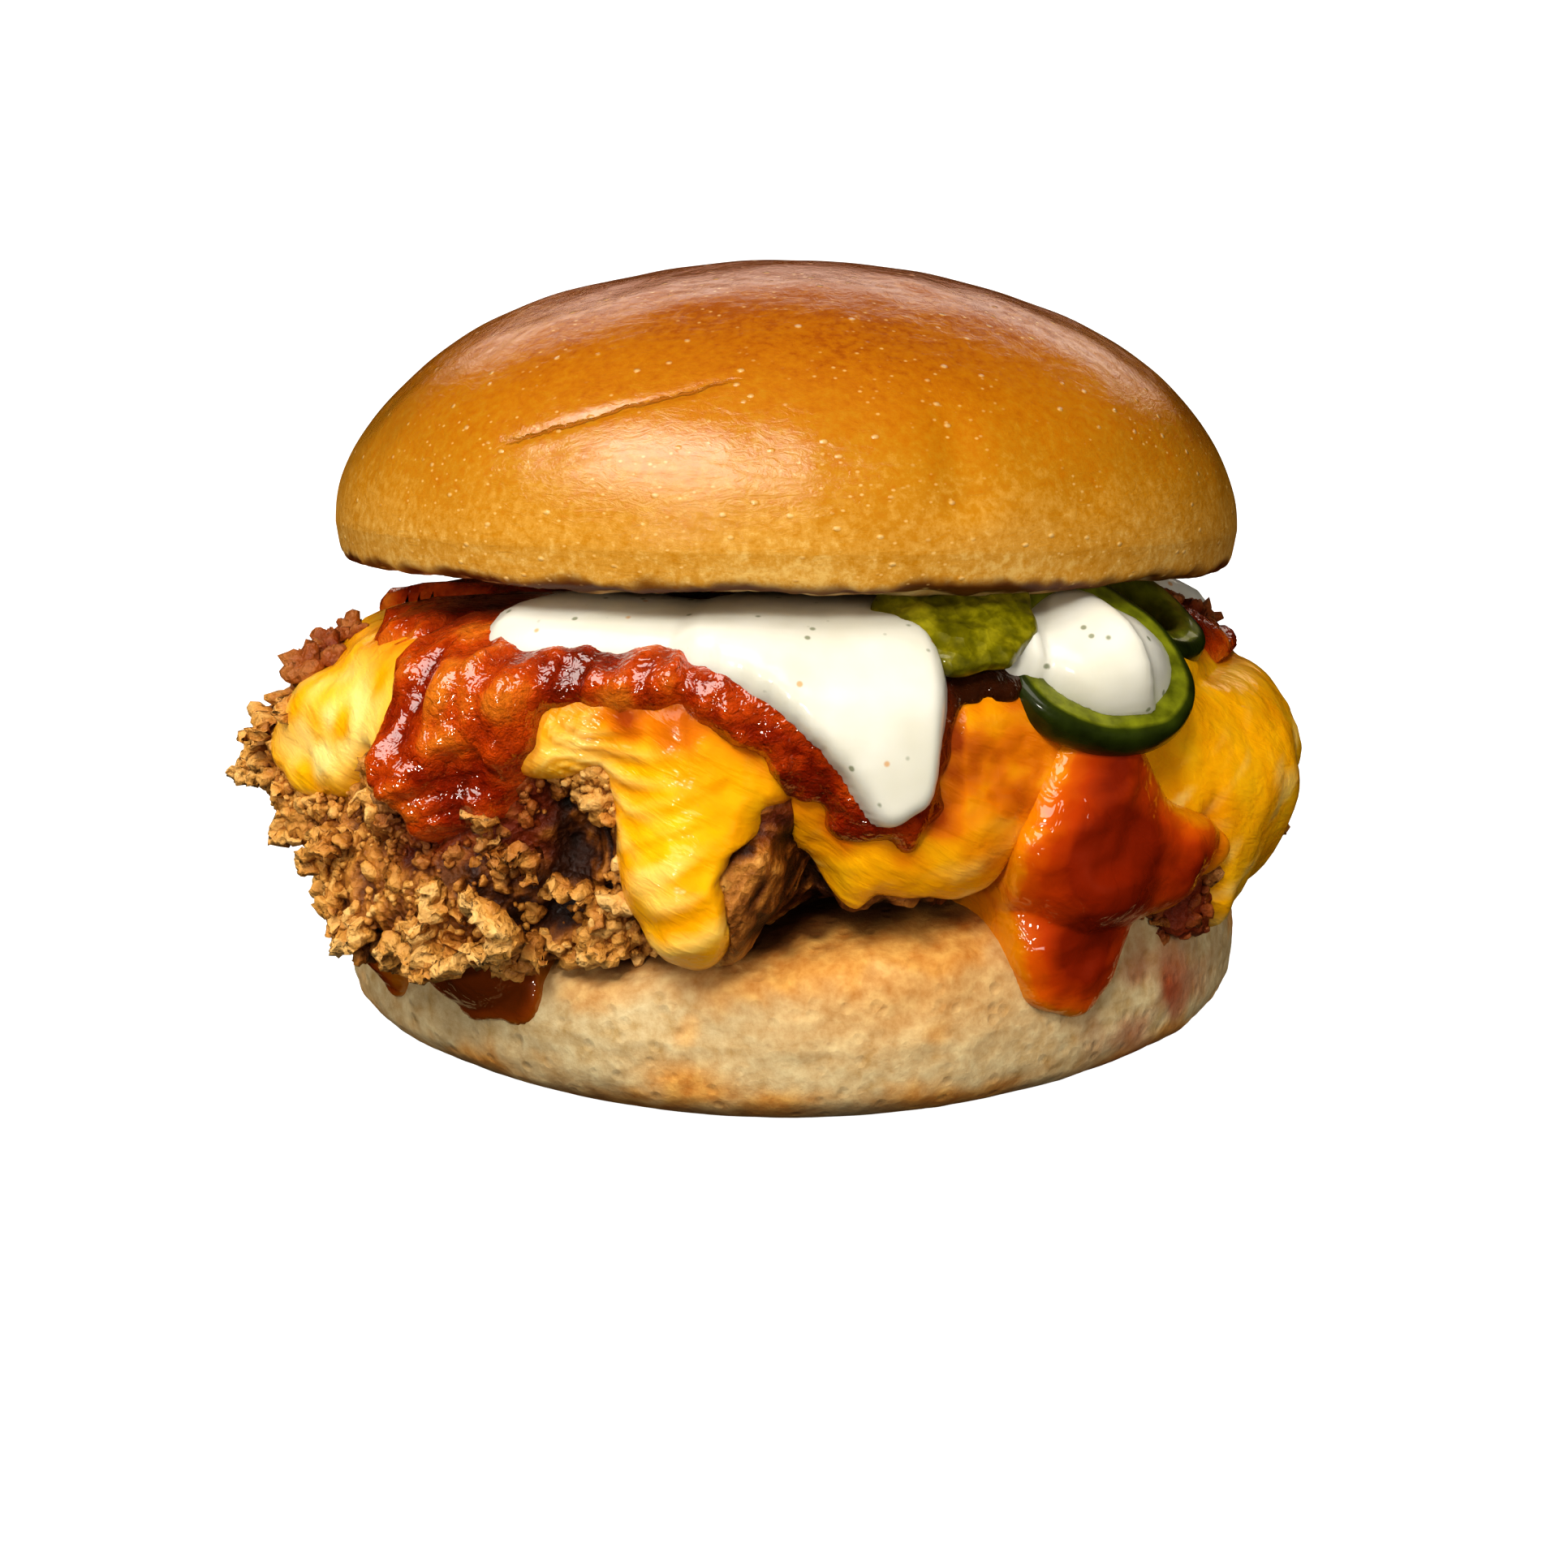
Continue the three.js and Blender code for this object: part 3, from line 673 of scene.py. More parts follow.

# Red relish: dark, wet, lumpy and full of broken highlights, with painted light on its chunks and painted
# shade in the gaps between them
relish = Surface("red relish", Specular_IOR_Level=0.1, Coat_Weight=0.9, Coat_Roughness=0.05, Coat_IOR=2.0)
pulp = relish.grainy(3, 4, 0.6)
# Lighter on chunk middles and raised ripples, darker in the gaps between chunks: painted light and shade
# over the relish's own reds
lump = relish.math("MULTIPLY_ADD", relish.field("lump"), 0.5, 0.22)
red = relish.ramp(
    relish.add_scaled(lump, 0.2, pulp, 0.5),
    (0.1, "#340A00"),
    (0.34, "#8A2200"),
    (0.56, "#BE4604"),
    (0.82, "#DC7A1C"),
)
glazed = relish.mix(relish.field("brown"), red, hexed("#3C1A06"))
relish.join(glazed, "Base Color")
relish.join(relish.ramp(pulp, (0.3, 0.12), (0.7, 0.3)), "Roughness")
wet = relish.bump(relish.grainy(1.0, 4, 0.65, 0.4), 1.0, 1.0)
relish.join(wet, "Normal")
beads = relish.bump(relish.grainy(1.25, 2, 0.5, 0.5), 0.42, 1.0)
relish.join(beads, "Coat Normal")

# Hot sauce: a smooth clear red that turns orange where it is thin, and on its right arm as painted light
sauce = Surface(
    "hot sauce",
    Specular_IOR_Level=0.1,
    Coat_Weight=0.8,
    Coat_Roughness=0.04,
    Coat_IOR=1.8,
    Roughness=0.4,
)
streaks = sauce.grainy(5, 3, 0.5, 1.2)
body = sauce.math("MULTIPLY_ADD", streaks, 0.5, sauce.field("depth"))
deep = sauce.ramp(
    sauce.math("SUBTRACT", body, 0.2),
    (0.05, "#D88200"),
    (0.25, "#C85600"),
    (0.55, "#AE3A00"),
    (0.95, "#7E2000"),
)
browned = sauce.mix(sauce.field("brown"), deep, hexed("#6E3604"))
sauce.join(browned, "Base Color")
ripple = sauce.bump(sauce.grainy(2.2, 3, 0.5, 0.8), 0.3, 0.45)
sauce.join(ripple, "Normal")
glints = sauce.bump(sauce.grainy(3.4, 2, 0.5, 1.0), 1.0, 1.0)
sauce.join(glints, "Coat Normal")

# Ranch sauce: thick cream with herb and pepper specks
ranch = Surface(
    "ranch sauce",
    Subsurface_Weight=0.3,
    Subsurface_Radius=(1.0, 0.9, 0.7),
    Subsurface_Scale=0.003,
    Specular_IOR_Level=0.3,
    Coat_Weight=0.4,
    Coat_Roughness=0.1,
    Roughness=0.4,
)
cream = ranch.ramp(ranch.grainy(8, 2), (0.3, "#CDC9B6"), (0.7, "#D9D6C8"))
specks = ranch.cellular(3.2)
specks = ranch.ramp(specks, (0.08, 0.7), (0.14, 0.0))
herbs = ranch.mix(specks, cream, hexed("#56602E"))
shifted = ranch.step("VectorMath", {0: ranch.place, 1: (7, 3, 5)}).outputs[0]
warm = ranch.ramp(ranch.cellular(5, place=shifted), (0.05, 0.7), (0.09, 0.0))
peppered = ranch.mix(warm, herbs, hexed("#C58A3C"))
ranch.join(peppered, "Base Color")
creamy = ranch.bump(ranch.grainy(3.5, 2), 0.3, 0.4)
ranch.join(creamy, "Normal")

# Pickled jalapeno: dark waxy skin outside and paler flesh inside
ring = Surface(
    "pickled jalapeno",
    Specular_IOR_Level=0.2,
    Coat_Weight=0.45,
    Coat_Roughness=0.08,
    Roughness=0.35,
)
cloud = ring.grainy(4, 3)
skin_green = ring.ramp(cloud, (0.3, "#161C04"), (0.7, "#2E3808"))
cloud = ring.grainy(2, 3)
flesh_green = ring.ramp(cloud, (0.3, "#4E5208"), (0.7, "#7C8018"))
greens = ring.mix(ring.field("flesh"), skin_green, flesh_green)
ring.join(greens, "Base Color")
waxy = ring.bump(ring.grainy(1.2, 3), 0.2, 0.5)
ring.join(waxy, "Normal")

# Pickle: olive green, knobbly and half clear
pickle = Surface("pickle", Specular_IOR_Level=0.2, Coat_Weight=0.6, Coat_Roughness=0.08, Roughness=0.35)
cloud = pickle.grainy(3, 4, 0.6)
olive = pickle.ramp(cloud, (0.3, "#3A3802"), (0.5, "#625C00"), (0.72, "#948A14"))
pickle.join(olive, "Base Color")
knobbly = pickle.bump(pickle.cellular(1.8), 0.6, 0.7)
pickle.join(knobbly, "Normal")

# Glazed bun top: amber crown that pales to gold at the skirt, tiny blisters, a burnt rim and a crease
# darkened as painted shade
glaze = Surface("glazed bun", Specular_IOR_Level=0.15, Coat_Roughness=0.13, Coat_IOR=1.85)
rise = glaze.field("rise")
patchy = glaze.grainy(14, 3)
mealy = glaze.grainy(1.1, 5, 0.7)
tone = glaze.add_scaled(rise, 0.2, patchy, 0.4)
tone = glaze.add_scaled(tone, 0.43, mealy, 1.1)
baked = glaze.ramp(
    tone,
    (0.0, "#D0A65A"),
    (0.2, "#C08C36"),
    (0.42, "#B27812"),
    (0.64, "#B06C04"),
    (0.85, "#A86002"),
    (1.0, "#984E02"),
)
burnt = glaze.mix(glaze.field("burnt"), baked, hexed("#5E3008"))
crumb = glaze.grainy(2.5, 4, 0.6)
crumb = glaze.ramp(crumb, (0.35, "#C99A5C"), (0.65, "#E9CF9C"))
cut_face = glaze.mix(glaze.field("cut"), burnt, crumb)
flatter = glaze.squeezed((1, 1, 1.6))
spots = glaze.cellular(3.6, place=flatter)
dots = glaze.ramp(spots, (0.06, 0.45), (0.13, 0.0))
dotted = glaze.mix(dots, cut_face, hexed("#EACB8E"))
flecks = glaze.ramp(glaze.cellular(1.5, place=flatter), (0.08, 0.5), (0.2, 0.0))
fleck_areas = glaze.ramp(patchy, (0.46, 0.0), (0.56, 1.0))
flecks = glaze.mix(fleck_areas, hexed("#000000"), flecks)
dotted = glaze.mix(flecks, dotted, hexed("#E6C07C"))
# The crease: a thin wavy line darkened as painted shade, with less coat and a groove in the bump
seam_wave = glaze.grainy(2.6, 5, 0.65)
seam = glaze.math("MULTIPLY_ADD", seam_wave, 0.16, glaze.field("seam"))
seam = glaze.math("ABSOLUTE", glaze.math("SUBTRACT", seam, 0.58))
seam = glaze.ramp(seam, (0.008, 1.0), (0.03, 0.0))
seam = glaze.math("MULTIPLY", seam, glaze.field("seam_span"))
creased = glaze.mix(glaze.math("MULTIPLY", seam, 0.7), dotted, hexed("#8A4A08"))
glaze.join(creased, "Base Color")
glaze.join(glaze.ramp(rise, (0.05, 0.55), (0.35, 0.4)), "Roughness")
glossy = glaze.ramp(rise, (0.13, 0.08), (0.42, 1.0))
glossy = glaze.math("SUBTRACT", glossy, seam)
glaze.join(glossy, "Coat Weight")
blisters = glaze.bump(glaze.ramp(spots, (0.03, 1.0), (0.14, 0.0)), 0.18, 0.6)
blisters = glaze.bump(seam, -0.25, 1.0, blisters)
drawn_round = glaze.squeezed((0.55, 0.55, 1.5))
crinkles = glaze.grainy(1.5, 5, 0.65, 1.4, place=drawn_round)
wrinkles = glaze.bump(crinkles, 0.35, 0.3, blisters)
pores = glaze.bump(glaze.grainy(0.45, 3, 0.6), 0.05, 0.5, wrinkles)
glaze.join(pores, "Normal", "Coat Normal")

# Bottom bun: pale spongy bread with toasted patches, a brown foot and a charred cut edge
bread = Surface("toasted bun bottom", Specular_IOR_Level=0.2, Roughness=0.75)
sponge = bread.grainy(2.0, 5, 0.62)
dough = bread.ramp(sponge, (0.28, "#AE905C"), (0.5, "#C0A87C"), (0.75, "#D2C296"))
toast = bread.ramp(sponge, (0.3, "#B87630"), (0.7, "#DCA85A"))
toasted = bread.mix(bread.field("toast"), dough, toast)
charred = bread.mix(bread.field("char"), toasted, hexed("#43200D"))
soaked = bread.mix(bread.field("stain"), charred, hexed("#8E2E08"))
bread.join(soaked, "Base Color")
holes = bread.ramp(bread.cellular(2.6), (0.1, 0.0), (0.3, 1.0))
holes = bread.bump(holes, 0.4, 0.4)
bread.join(bread.bump(sponge, 0.45, 0.55, holes), "Normal")

# The fillet
made, skin = exposed(760, 116, 1.25, lambda s: cheese_inside(s) > 4)
relief_height, peak = crust_relief(skin)
bare = 1 - 0.93 * smoothstep(cheese_inside(skin), -1.0, 1.0)
lift = skin.lumps() + relief_height * bare * skin.free
wobble = 0.9 * wandering(skin.spot, 3.1, 60)
points = skin.lifted(lift) + wobble * (bare * skin.free)[:, None]
piece(
    "fried_chicken_crust",
    made,
    points,
    crust,
    "fried_chicken",
    "fried_chicken",
    # painted shade: the crust is darkened in its front hollow and under the cheese slab
    peak=peak - 0.08 - heap(DARK_CRUST, skin.azimuth, skin.high),
    oil=crust_oil(skin),
)


def bare_spots(random, count, least, most):
    """Random places on the bare crust, more of them where it stands up."""
    tries = count * 12
    spots = Skin(random.uniform(-180, 180, tries), random.uniform(least, most, tries))
    bare = (cheese_inside(spots) < 0.3) & (relish_inside(spots) < -0.6) & (spots.free > 0.2)
    bare &= np.abs(turn(spots.azimuth, 13)) > 25
    bare &= patch(spots.azimuth, spots.high, *CRUST_HOLLOW) < 0.45
    bare &= crust_relief(spots)[0] > random.uniform(-2.5, 1.5, tries)
    kept = np.flatnonzero(bare)[:count]
    return Skin(spots.azimuth[kept], spots.angle[kept])


def knobs(name, random, spots, centre, size, tone, oil, rounding):
    """Fried knobs like popped corn at given places, joined in one mesh."""
    shape = bmesh.new()
    bmesh.ops.create_icosphere(shape, subdivisions=rounding, radius=1)
    made, round_points = copied(shape, len(centre))
    each = len(round_points)
    spin = np.linalg.qr(random.normal(size=(len(centre), 3, 3)))[0]
    spin *= np.linalg.det(spin)[:, None, None]
    stretched = round_points[None] * random.uniform(0.7, 1.3, (len(centre), 1, 3))
    turned = np.einsum("nmj,nij->nmi", stretched, spin)
    points = (centre[:, None] + turned * size[:, None, None]).reshape(-1, 3)
    bumps = 2.4 * np.abs(noise(points, 2.1, 150)) + 1.4 * np.abs(noise(points, 0.9, 151)) - 0.8
    points = points + turned.reshape(-1, 3) * (0.55 * bumps * np.repeat(size, each))[:, None]
    facing_out = np.einsum("nmi,ni->nm", turned, spots.out).ravel()
    # Lighter on raised bumps and on the side that faces out from the skin: painted light and shade
    peak = np.repeat(tone + random.uniform(-0.12, 0.14, len(centre)), each) + 0.1 * bumps + 0.16 * facing_out
    piece(name, made, points, crust, "fried_chicken", peak=peak, oil=np.repeat(oil, each))


def crust_knobs(name, count, small, large, rounding, seed):
    """Knobs all over the bare crust."""
    random = np.random.default_rng(seed)
    spots = bare_spots(random, count, -64, 45)
    relief_height, peak = crust_relief(spots)
    size = small + (large - small) * random.random(len(peak)) ** 2
    centre = spots.lifted(spots.lumps() + relief_height * spots.free) - spots.out * (0.05 * size)[:, None]
    knobs(name, random, spots, centre, size, 0.32 + 0.4 * peak, 0.9 * crust_oil(spots), rounding)


def crust_mounds(name, mounds, seed):
    """Clumps of knobs that lie on the cheese."""
    random = np.random.default_rng(seed)
    spread = [np.tile(mound[:5], (mound[5], 1)) for mound in mounds]
    given = np.concatenate(spread)
    off = np.clip(random.normal(0, 0.5, (len(given), 2)), -1.1, 1.1)
    spots = Skin(given[:, 0] + off[:, 0] * given[:, 2], given[:, 1] + off[:, 1] * given[:, 3])
    dome = np.sqrt(np.maximum(0, 1 - (off**2).sum(1) / 1.6))
    cover = np.maximum(0, cheese_layer(spots))
    centre = spots.lifted(spots.lumps() + cover + given[:, 4] * dome * random.random(len(given)))
    size = random.uniform(0.9, 1.9, len(given))
    tone = np.full(len(given), 0.42)
    oil = np.full(len(given), 0.75)
    knobs(name, random, spots, centre, size, tone, oil, 3)


def crust_curls(name, placed, count, seed):
    """Curled crisp strips that stand off the crust: placed ones, then random ones on bare places."""
    random = np.random.default_rng(seed)
    spots = bare_spots(random, count, -55, 35)
    given = np.array(placed, dtype=float)
    count = len(spots.azimuth)
    azimuth = np.concatenate([given[:, 0], spots.azimuth])
    angle = np.concatenate([given[:, 1], spots.angle])
    bend = np.concatenate([given[:, 2], random.uniform(1.3, 3.6, count)])
    start = np.radians(np.concatenate([given[:, 3], random.uniform(0, 360, count)]))
    sweep = np.radians(np.concatenate([given[:, 4], random.uniform(110, 290, count)]))
    thick = np.concatenate([given[:, 5], random.uniform(0.6, 1.1, count)])
    stand = np.concatenate([given[:, 6], random.uniform(0.2, 1.4, count)])
    spots = Skin(azimuth, angle)
    centre = spots.lifted(spots.lumps() + 0.5 * crust_relief(spots)[0] * spots.free + stand)
    a = np.radians(azimuth)
    east = np.stack([np.cos(a), np.sin(a), 0 * a], -1)
    up = np.cross(spots.out, east)
    steps, sides = 44, 12
    shape = bmesh.new()
    bmesh.ops.create_grid(shape, x_segments=steps, y_segments=sides, size=0.5)
    made, at = copied(shape, len(azimuth))
    share = at[:, 0] + 0.5
    around = 2 * np.pi * (at[:, 1] + 0.5)
    taper = np.sin(np.pi * np.clip(share, 0.002, 0.998)) ** 0.35
    place_on_arc = start[:, None] + sweep[:, None] * share[None]
    wander = 0.22 * np.sin(5 * share[None] * np.pi + start[:, None] * 3)
    section = thick[:, None] * taper[None]
    across = bend[:, None] * (1 + wander) + 0.75 * section * np.cos(around)[None]
    lift = 1.5 * section * np.sin(around)[None] + 0.8 * np.sin(3 * share[None] * np.pi + start[:, None])
    points = centre[:, None] + (across * np.cos(place_on_arc))[..., None] * east[:, None]
    points = points + (across * np.sin(place_on_arc))[..., None] * up[:, None]
    points = (points + lift[..., None] * spots.out[:, None]).reshape(-1, 3)
    ragged = wandering(points, 1.4, 160) + wandering(points, 0.8, 163)
    points = points + np.repeat(0.55 * thick, len(at))[:, None] * ragged
    # The outer side of each curl is lighter: painted light
    outer = np.tile(np.sin(around), len(azimuth))
    tone = np.repeat(0.6 + random.uniform(-0.12, 0.16, len(azimuth)), len(at))
    tone = tone + 0.16 * outer + 0.1 * noise(points, 2, 166)
    oil = 0.35 * np.repeat(crust_oil(spots), len(at))
    bmesh.ops.recalc_face_normals(made, faces=made.faces)
    piece(name, made, points, crust, "fried_chicken", peak=tone, oil=oil)


crust_knobs("crust_knobs_large", count=500, small=0.9, large=1.9, rounding=3, seed=31)
crust_knobs("crust_knobs_small", count=2400, small=0.4, large=1.05, rounding=2, seed=32)
crust_knobs("crust_grains", count=4200, small=0.3, large=0.65, rounding=1, seed=35)
crust_curls("crust_curls", CURLS, count=90, seed=33)
crust_mounds("crust_mounds", MOUNDS, seed=34)

# The cheese
made, skin = exposed(560, 110, 1.2, lambda s: cheese_inside(s) < -2.4)
azimuth = skin.azimuth
inside = cheese_inside(skin)
across = turn(azimuth, 0) * MILLIMETRES_PER_DEGREE
from_corner = (across - FAN_CORNER[0], skin.high - FAN_CORNER[1])
corner = np.hypot(*from_corner)
bearing = np.arctan2(from_corner[1], from_corner[0])
fan = np.sin(bearing * 26 + 2.6 * noise(skin.spot, 8, 71)) * np.exp(-(((corner - 9) / 7) ** 2))
drawn = np.stack([across + 0.8 * skin.high, skin.high * 4 - across * 2.2, across * 0], -1)
stretch = noise(drawn, 9, 72) * smoothstep(40 - skin.high, -6, 8)
folds = 0.6 * fan * swell(azimuth, -24, 12) + 0.8 * stretch * swell(azimuth, -14, 26)
sag = 0.9 * noise(skin.spot * np.array([1, 1, 0.35]), 9, 74)
surface = folds + 0.35 * noise(skin.spot, 6, 73) + sag + 0.16 * crust_relief(skin)[0]
plain = 1 - smoothstep(relish_inside(skin), -2.2, -0.4)
surface = surface * skin.free * smoothstep(inside, -0.5, 3) * plain
lift = skin.lumps() + GAP + cheese_layer(skin) + surface
# Painted highlights: pale on the raised fold and stretch ridges, and on two patches
pale = 0.55 * np.clip(fan, 0, 1) * swell(azimuth, -22, 14) + 0.45 * smoothstep(stretch, 0.1, 0.7)
pale += 1.4 * patch(azimuth, skin.high, *PALE_FOLD) * smoothstep(noise(skin.spot, 4, 77), -0.5, 0.5)
pale += 0.45 * patch(azimuth, skin.high, *PALE_SHOULDER) * smoothstep(noise(skin.spot, 4, 78), -0.5, 0.4)
thin = 0.8 * smoothstep(1.6 - inside, 0, 2.4) * smoothstep(torn(skin), 0.02, 0.8)
stain = heap(SAUCY_CHEESE, azimuth, skin.high) + 0.42 * smoothstep(relish_inside(skin), -3.5, -0.4)
stain *= 0.69 + 0.552 * noise(skin.spot, 5, 75) + 0.276 * noise(skin.spot, 2, 76)
piece(
    "melted_cheese_sheet",
    made,
    skin.lifted(lift),
    cheese,
    "melted_cheese",
    "melted_cheese",
    pale=pale,
    thin=thin,
    stain=stain,
)

# The relish
made, skin = exposed(560, 110, 1.2, lambda s: relish_inside(s) < -2.2)
smooth = smoothstep(skin.azimuth, -10, 2) * (1 - smoothstep(np.abs(skin.azimuth), 55, 75))
wet = 0.8 * noise(skin.spot, 3.4, 140) + 0.5 * noise(skin.spot, 1.5, 141)
layer = wet * skin.free * (1 - 0.8 * smooth) * smoothstep(relish_inside(skin), 0, 1.5)
layer = relish_layer(skin) + layer
lift = skin.lumps() + 2 * GAP + np.maximum(0, cheese_layer(skin)) + layer
piece(
    "red_relish_layer",
    made,
    skin.lifted(lift),
    relish,
    "red_relish",
    "red_relish",
    # Lighter on chunk middles and raised ripples, darker in the gaps: painted light and shade over the
    # relish's own reds
    lump=1.15 - 1.45 * relish_chunks(skin) + 0.35 * wet,
    brown=smoothstep(skin.azimuth, 13, 21) * (1 - smoothstep(skin.azimuth, 60, 80)),
)

# The ranch sauce
made, skin = exposed(420, 100, 1.2, lambda s: ranch_inside(s) < -2.4)
full = RELISH_THICKNESS + heap(RELISH_HEAPS, skin.azimuth, skin.high)
below = np.maximum(0, thickness(relish_inside(skin), full, RELISH_LIP))
lift = skin.lumps() + 3 * GAP + np.maximum(0, cheese_layer(skin)) + below + ranch_layer(skin)
piece("ranch_sauce_layer", made, skin.lifted(lift), ranch, "ranch_sauce", "ranch_sauce")


def pile_reach(azimuths, highs, bridge):
    """How far out cheese, crust and bottom bun reach, on a grid of azimuths and heights."""
    angles = np.linspace(84, -84, 57)
    grid_azimuth, grid_angle = (g.ravel() for g in np.meshgrid(azimuths, angles, indexing="ij"))
    skin = Skin(grid_azimuth, grid_angle)
    cover = np.maximum(-1.5, cheese_layer(skin))
    filling = skin.lifted(skin.lumps() + GAP + cover)
    heel = heel_point(grid_azimuth, grid_angle, GAP)
    both = np.stack([filling, heel]).reshape(2, len(azimuths), len(angles), 3)
    radius = np.hypot(both[..., 0], both[..., 1])
    gap = highs[None, None, None, :] - both[..., 2][..., None]
    return np.max(radius[..., None] - gap**2 / (2 * bridge), axis=(0, 2))


def sauce_pool(name, pools, span, full, lip, brown, columns, rows, nodes=()):
    """A pool of sauce over the burger's side, from rounded spots that run together."""
    columns = int(columns * DETAIL)
    rows = int(rows * DETAIL)
    made = bmesh.new()
    bmesh.ops.create_grid(made, x_segments=columns, y_segments=rows, size=0.5)
    bmesh.ops.reverse_faces(made, faces=made.faces)
    at = places(made)
    low_azimuth, high_azimuth, low, high = span
    azimuths = np.linspace(low_azimuth, high_azimuth, columns + 1)
    highs = np.linspace(low, high, rows + 1)
    column = np.rint((at[:, 0] + 0.5) * columns).astype(int)
    row = np.rint((at[:, 1] + 0.5) * rows).astype(int)
    azimuth = azimuths[column]
    level = highs[row]
    millimetres = math.radians(BUN_RADIUS + 3)
    spots = []
    for centre, height, wide, tall in pools:
        far = np.hypot(turn(azimuth, centre) * millimetres / wide, (level - height) / tall)
        spots.append((1 - far) * min(wide, tall))
    together = np.log(sum(np.exp(np.array(s) / 2) for s in spots)) * 2
    a = np.radians(azimuth)
    round_points = np.stack([55 * np.sin(a), -55 * np.cos(a), level], -1)
    together = together + 0.5 * noise(round_points, 5, 80)
    uneven = 0.7 * noise(round_points, 6, 81) + 0.3 * noise(round_points, 2.6, 82)
    layer = thickness(together, full + uneven + heap(SAUCE_HEAPS, azimuth, level), lip)
    reach = pile_reach(azimuths, highs, SAUCE_BRIDGE)[column, row] + layer + np.minimum(0, 6 * together)
    points = np.stack([reach * np.sin(a), -reach * np.cos(a), level], -1)
    shown = together >= -1.6
    drop(made, ~shown)
    # Darker where the sauce is deep; its right arm is lightened as painted light against the shade it lies
    # in
    depth = (together / lip - 0.2 * swell(azimuth, 52, 6))[shown]
    brown = np.full(len(depth), brown)
    piece(name, made, points[shown], sauce, "hot_sauce", *nodes, depth=depth, brown=brown)


# Each pool's span is its azimuths and heights, from the lowest to the highest
sauce_pool(
    "hot_sauce_pool",
    HOT_SAUCE_POOLS,
    (12, 80, 5, 56),
    full=HOT_SAUCE_THICKNESS,
    lip=HOT_SAUCE_LIP,
    brown=0,
    columns=190,
    rows=150,
    nodes=["hot_sauce"],
)
sauce_pool(
    "sauce_drip_left",
    [(-57, 15.5, 2.4, 3), (-57, 12, 2.2, 3)],
    (-66, -46, 2, 24),
    full=1.3,
    lip=2.5,
    brown=0.45,
    columns=60,
    rows=60,
)
sauce_pool(
    "juice_smear",
    [(-38, 15.5, 5, 3), (-41, 14, 2.4, 3.4), (-34, 14.5, 2.4, 3)],
    (-52, -22, 2, 24),
    full=0.5,
    lip=2,
    brown=0.8,
    columns=90,
    rows=60,
)


# The greens
def facing(x, y, z, azimuth, elevation):
    """A flat slice's place, in metres, with its face turned to an azimuth and an elevation."""
    a = math.radians(azimuth)
    e = math.radians(elevation)
    out = Vector((math.sin(a) * math.cos(e), -math.cos(a) * math.cos(e), math.sin(e)))
    turned = Vector((0, 0, 1)).rotation_difference(out).to_matrix().to_4x4()
    return Matrix.Translation((x * 0.001, y * 0.001, z * 0.001)) @ turned


def jalapeno(name, matrix, node):
    """A ring whose rounded section is spun around its middle."""
    middle = (JALAPENO_RADIUS + JALAPENO_HOLE) / 2
    half = (JALAPENO_RADIUS - JALAPENO_HOLE) / 2
    made = bmesh.new()
    steps = 28
    across, up = squircle(np.linspace(0, 2 * np.pi, steps, endpoint=False), 3.2)
    across = (middle + across * half) * 0.001
    up = up * JALAPENO_THICKNESS / 2 * 0.001
    profile = [made.verts.new((c, 0, s)) for c, s in zip(across, up)]
    edges = [made.edges.new((profile[i], profile[(i + 1) % steps])) for i in range(steps)]
    bmesh.ops.spin(made, geom=profile + edges, cent=(0, 0, 0), axis=(0, 0, 1), angle=2 * math.pi, steps=120)
    bmesh.ops.remove_doubles(made, verts=made.verts, dist=1e-6)
    bmesh.ops.recalc_face_normals(made, faces=made.faces)
    at = places(made) * 1000
    around = np.arctan2(at[:, 1], at[:, 0])
    radius = np.hypot(at[:, 0], at[:, 1])
    uneven = 1 + 0.035 * np.cos(3 * around) + 0.02 * np.cos(2 * around + 1) + 0.012 * noise(at, 4, 90)
    points = at * np.stack([uneven, uneven, 1 + 0 * uneven], -1)
    points[:, 2] += 0.25 * noise(at, 5, 91)
    flesh = smoothstep(JALAPENO_RADIUS - 1.1 - radius, 0, 0.5)
    piece(name, made, points, ring, "jalapeno", node, matrix=matrix, flesh=flesh)


jalapeno("jalapeno_ring_front", facing(*RING_FRONT), "jalapeno_front")
jalapeno("jalapeno_ring_back", facing(*RING_BACK), "jalapeno_back")

made = ball(144, 40)
azimuth, angle = chart(made, 0.8, 0)
a = np.radians(azimuth)
across, up = squircle(np.radians(angle), 4)
reach = PICKLE_RADIUS * (1 + 0.035 * np.cos(9 * a)) * across
points = np.stack([reach * np.sin(a), -reach * np.cos(a), up * PICKLE_THICKNESS / 2], -1)
points[:, 2] += 0.5 * noise(points, 4, 95) + 0.25 * noise(points, 1.6, 96)
lying = facing(*PICKLE_PLACE)
piece("pickle_round", made, points, pickle, "pickle_slice", "pickle_slice", matrix=lying)

# The top bun, with its rows of points closer together around the crease
made = ball(512, 190)
azimuth, angle = chart(made, 1, 0)
closer = 9 * (np.sin(np.radians(4 * (angle + 15))) - math.sin(math.radians(60)))
angle = np.where(angle > 0, angle + closer, angle)
points = crown_point(azimuth, angle)
a = np.radians(azimuth)
normal = np.stack([points[:, 0], points[:, 1], np.maximum(0, points[:, 2] - CROWN_SKIRT) * 2.4], -1)
normal /= np.maximum(1e-6, np.linalg.norm(normal, axis=-1, keepdims=True))
dome = smoothstep(angle, 0, 12)
shape = 0.5 * noise(points, 24, 100) + 0.16 * noise(points, 7, 101)
dent = swell(azimuth, DENT_AT, 3.4) * smoothstep(angle, 2, 10) * (1 - smoothstep(angle, 22, 34))
crease_level = CREASE_LEVEL + CREASE_CLIMB * np.clip((azimuth - CREASE_START) / CREASE_SPAN, 0, 1)
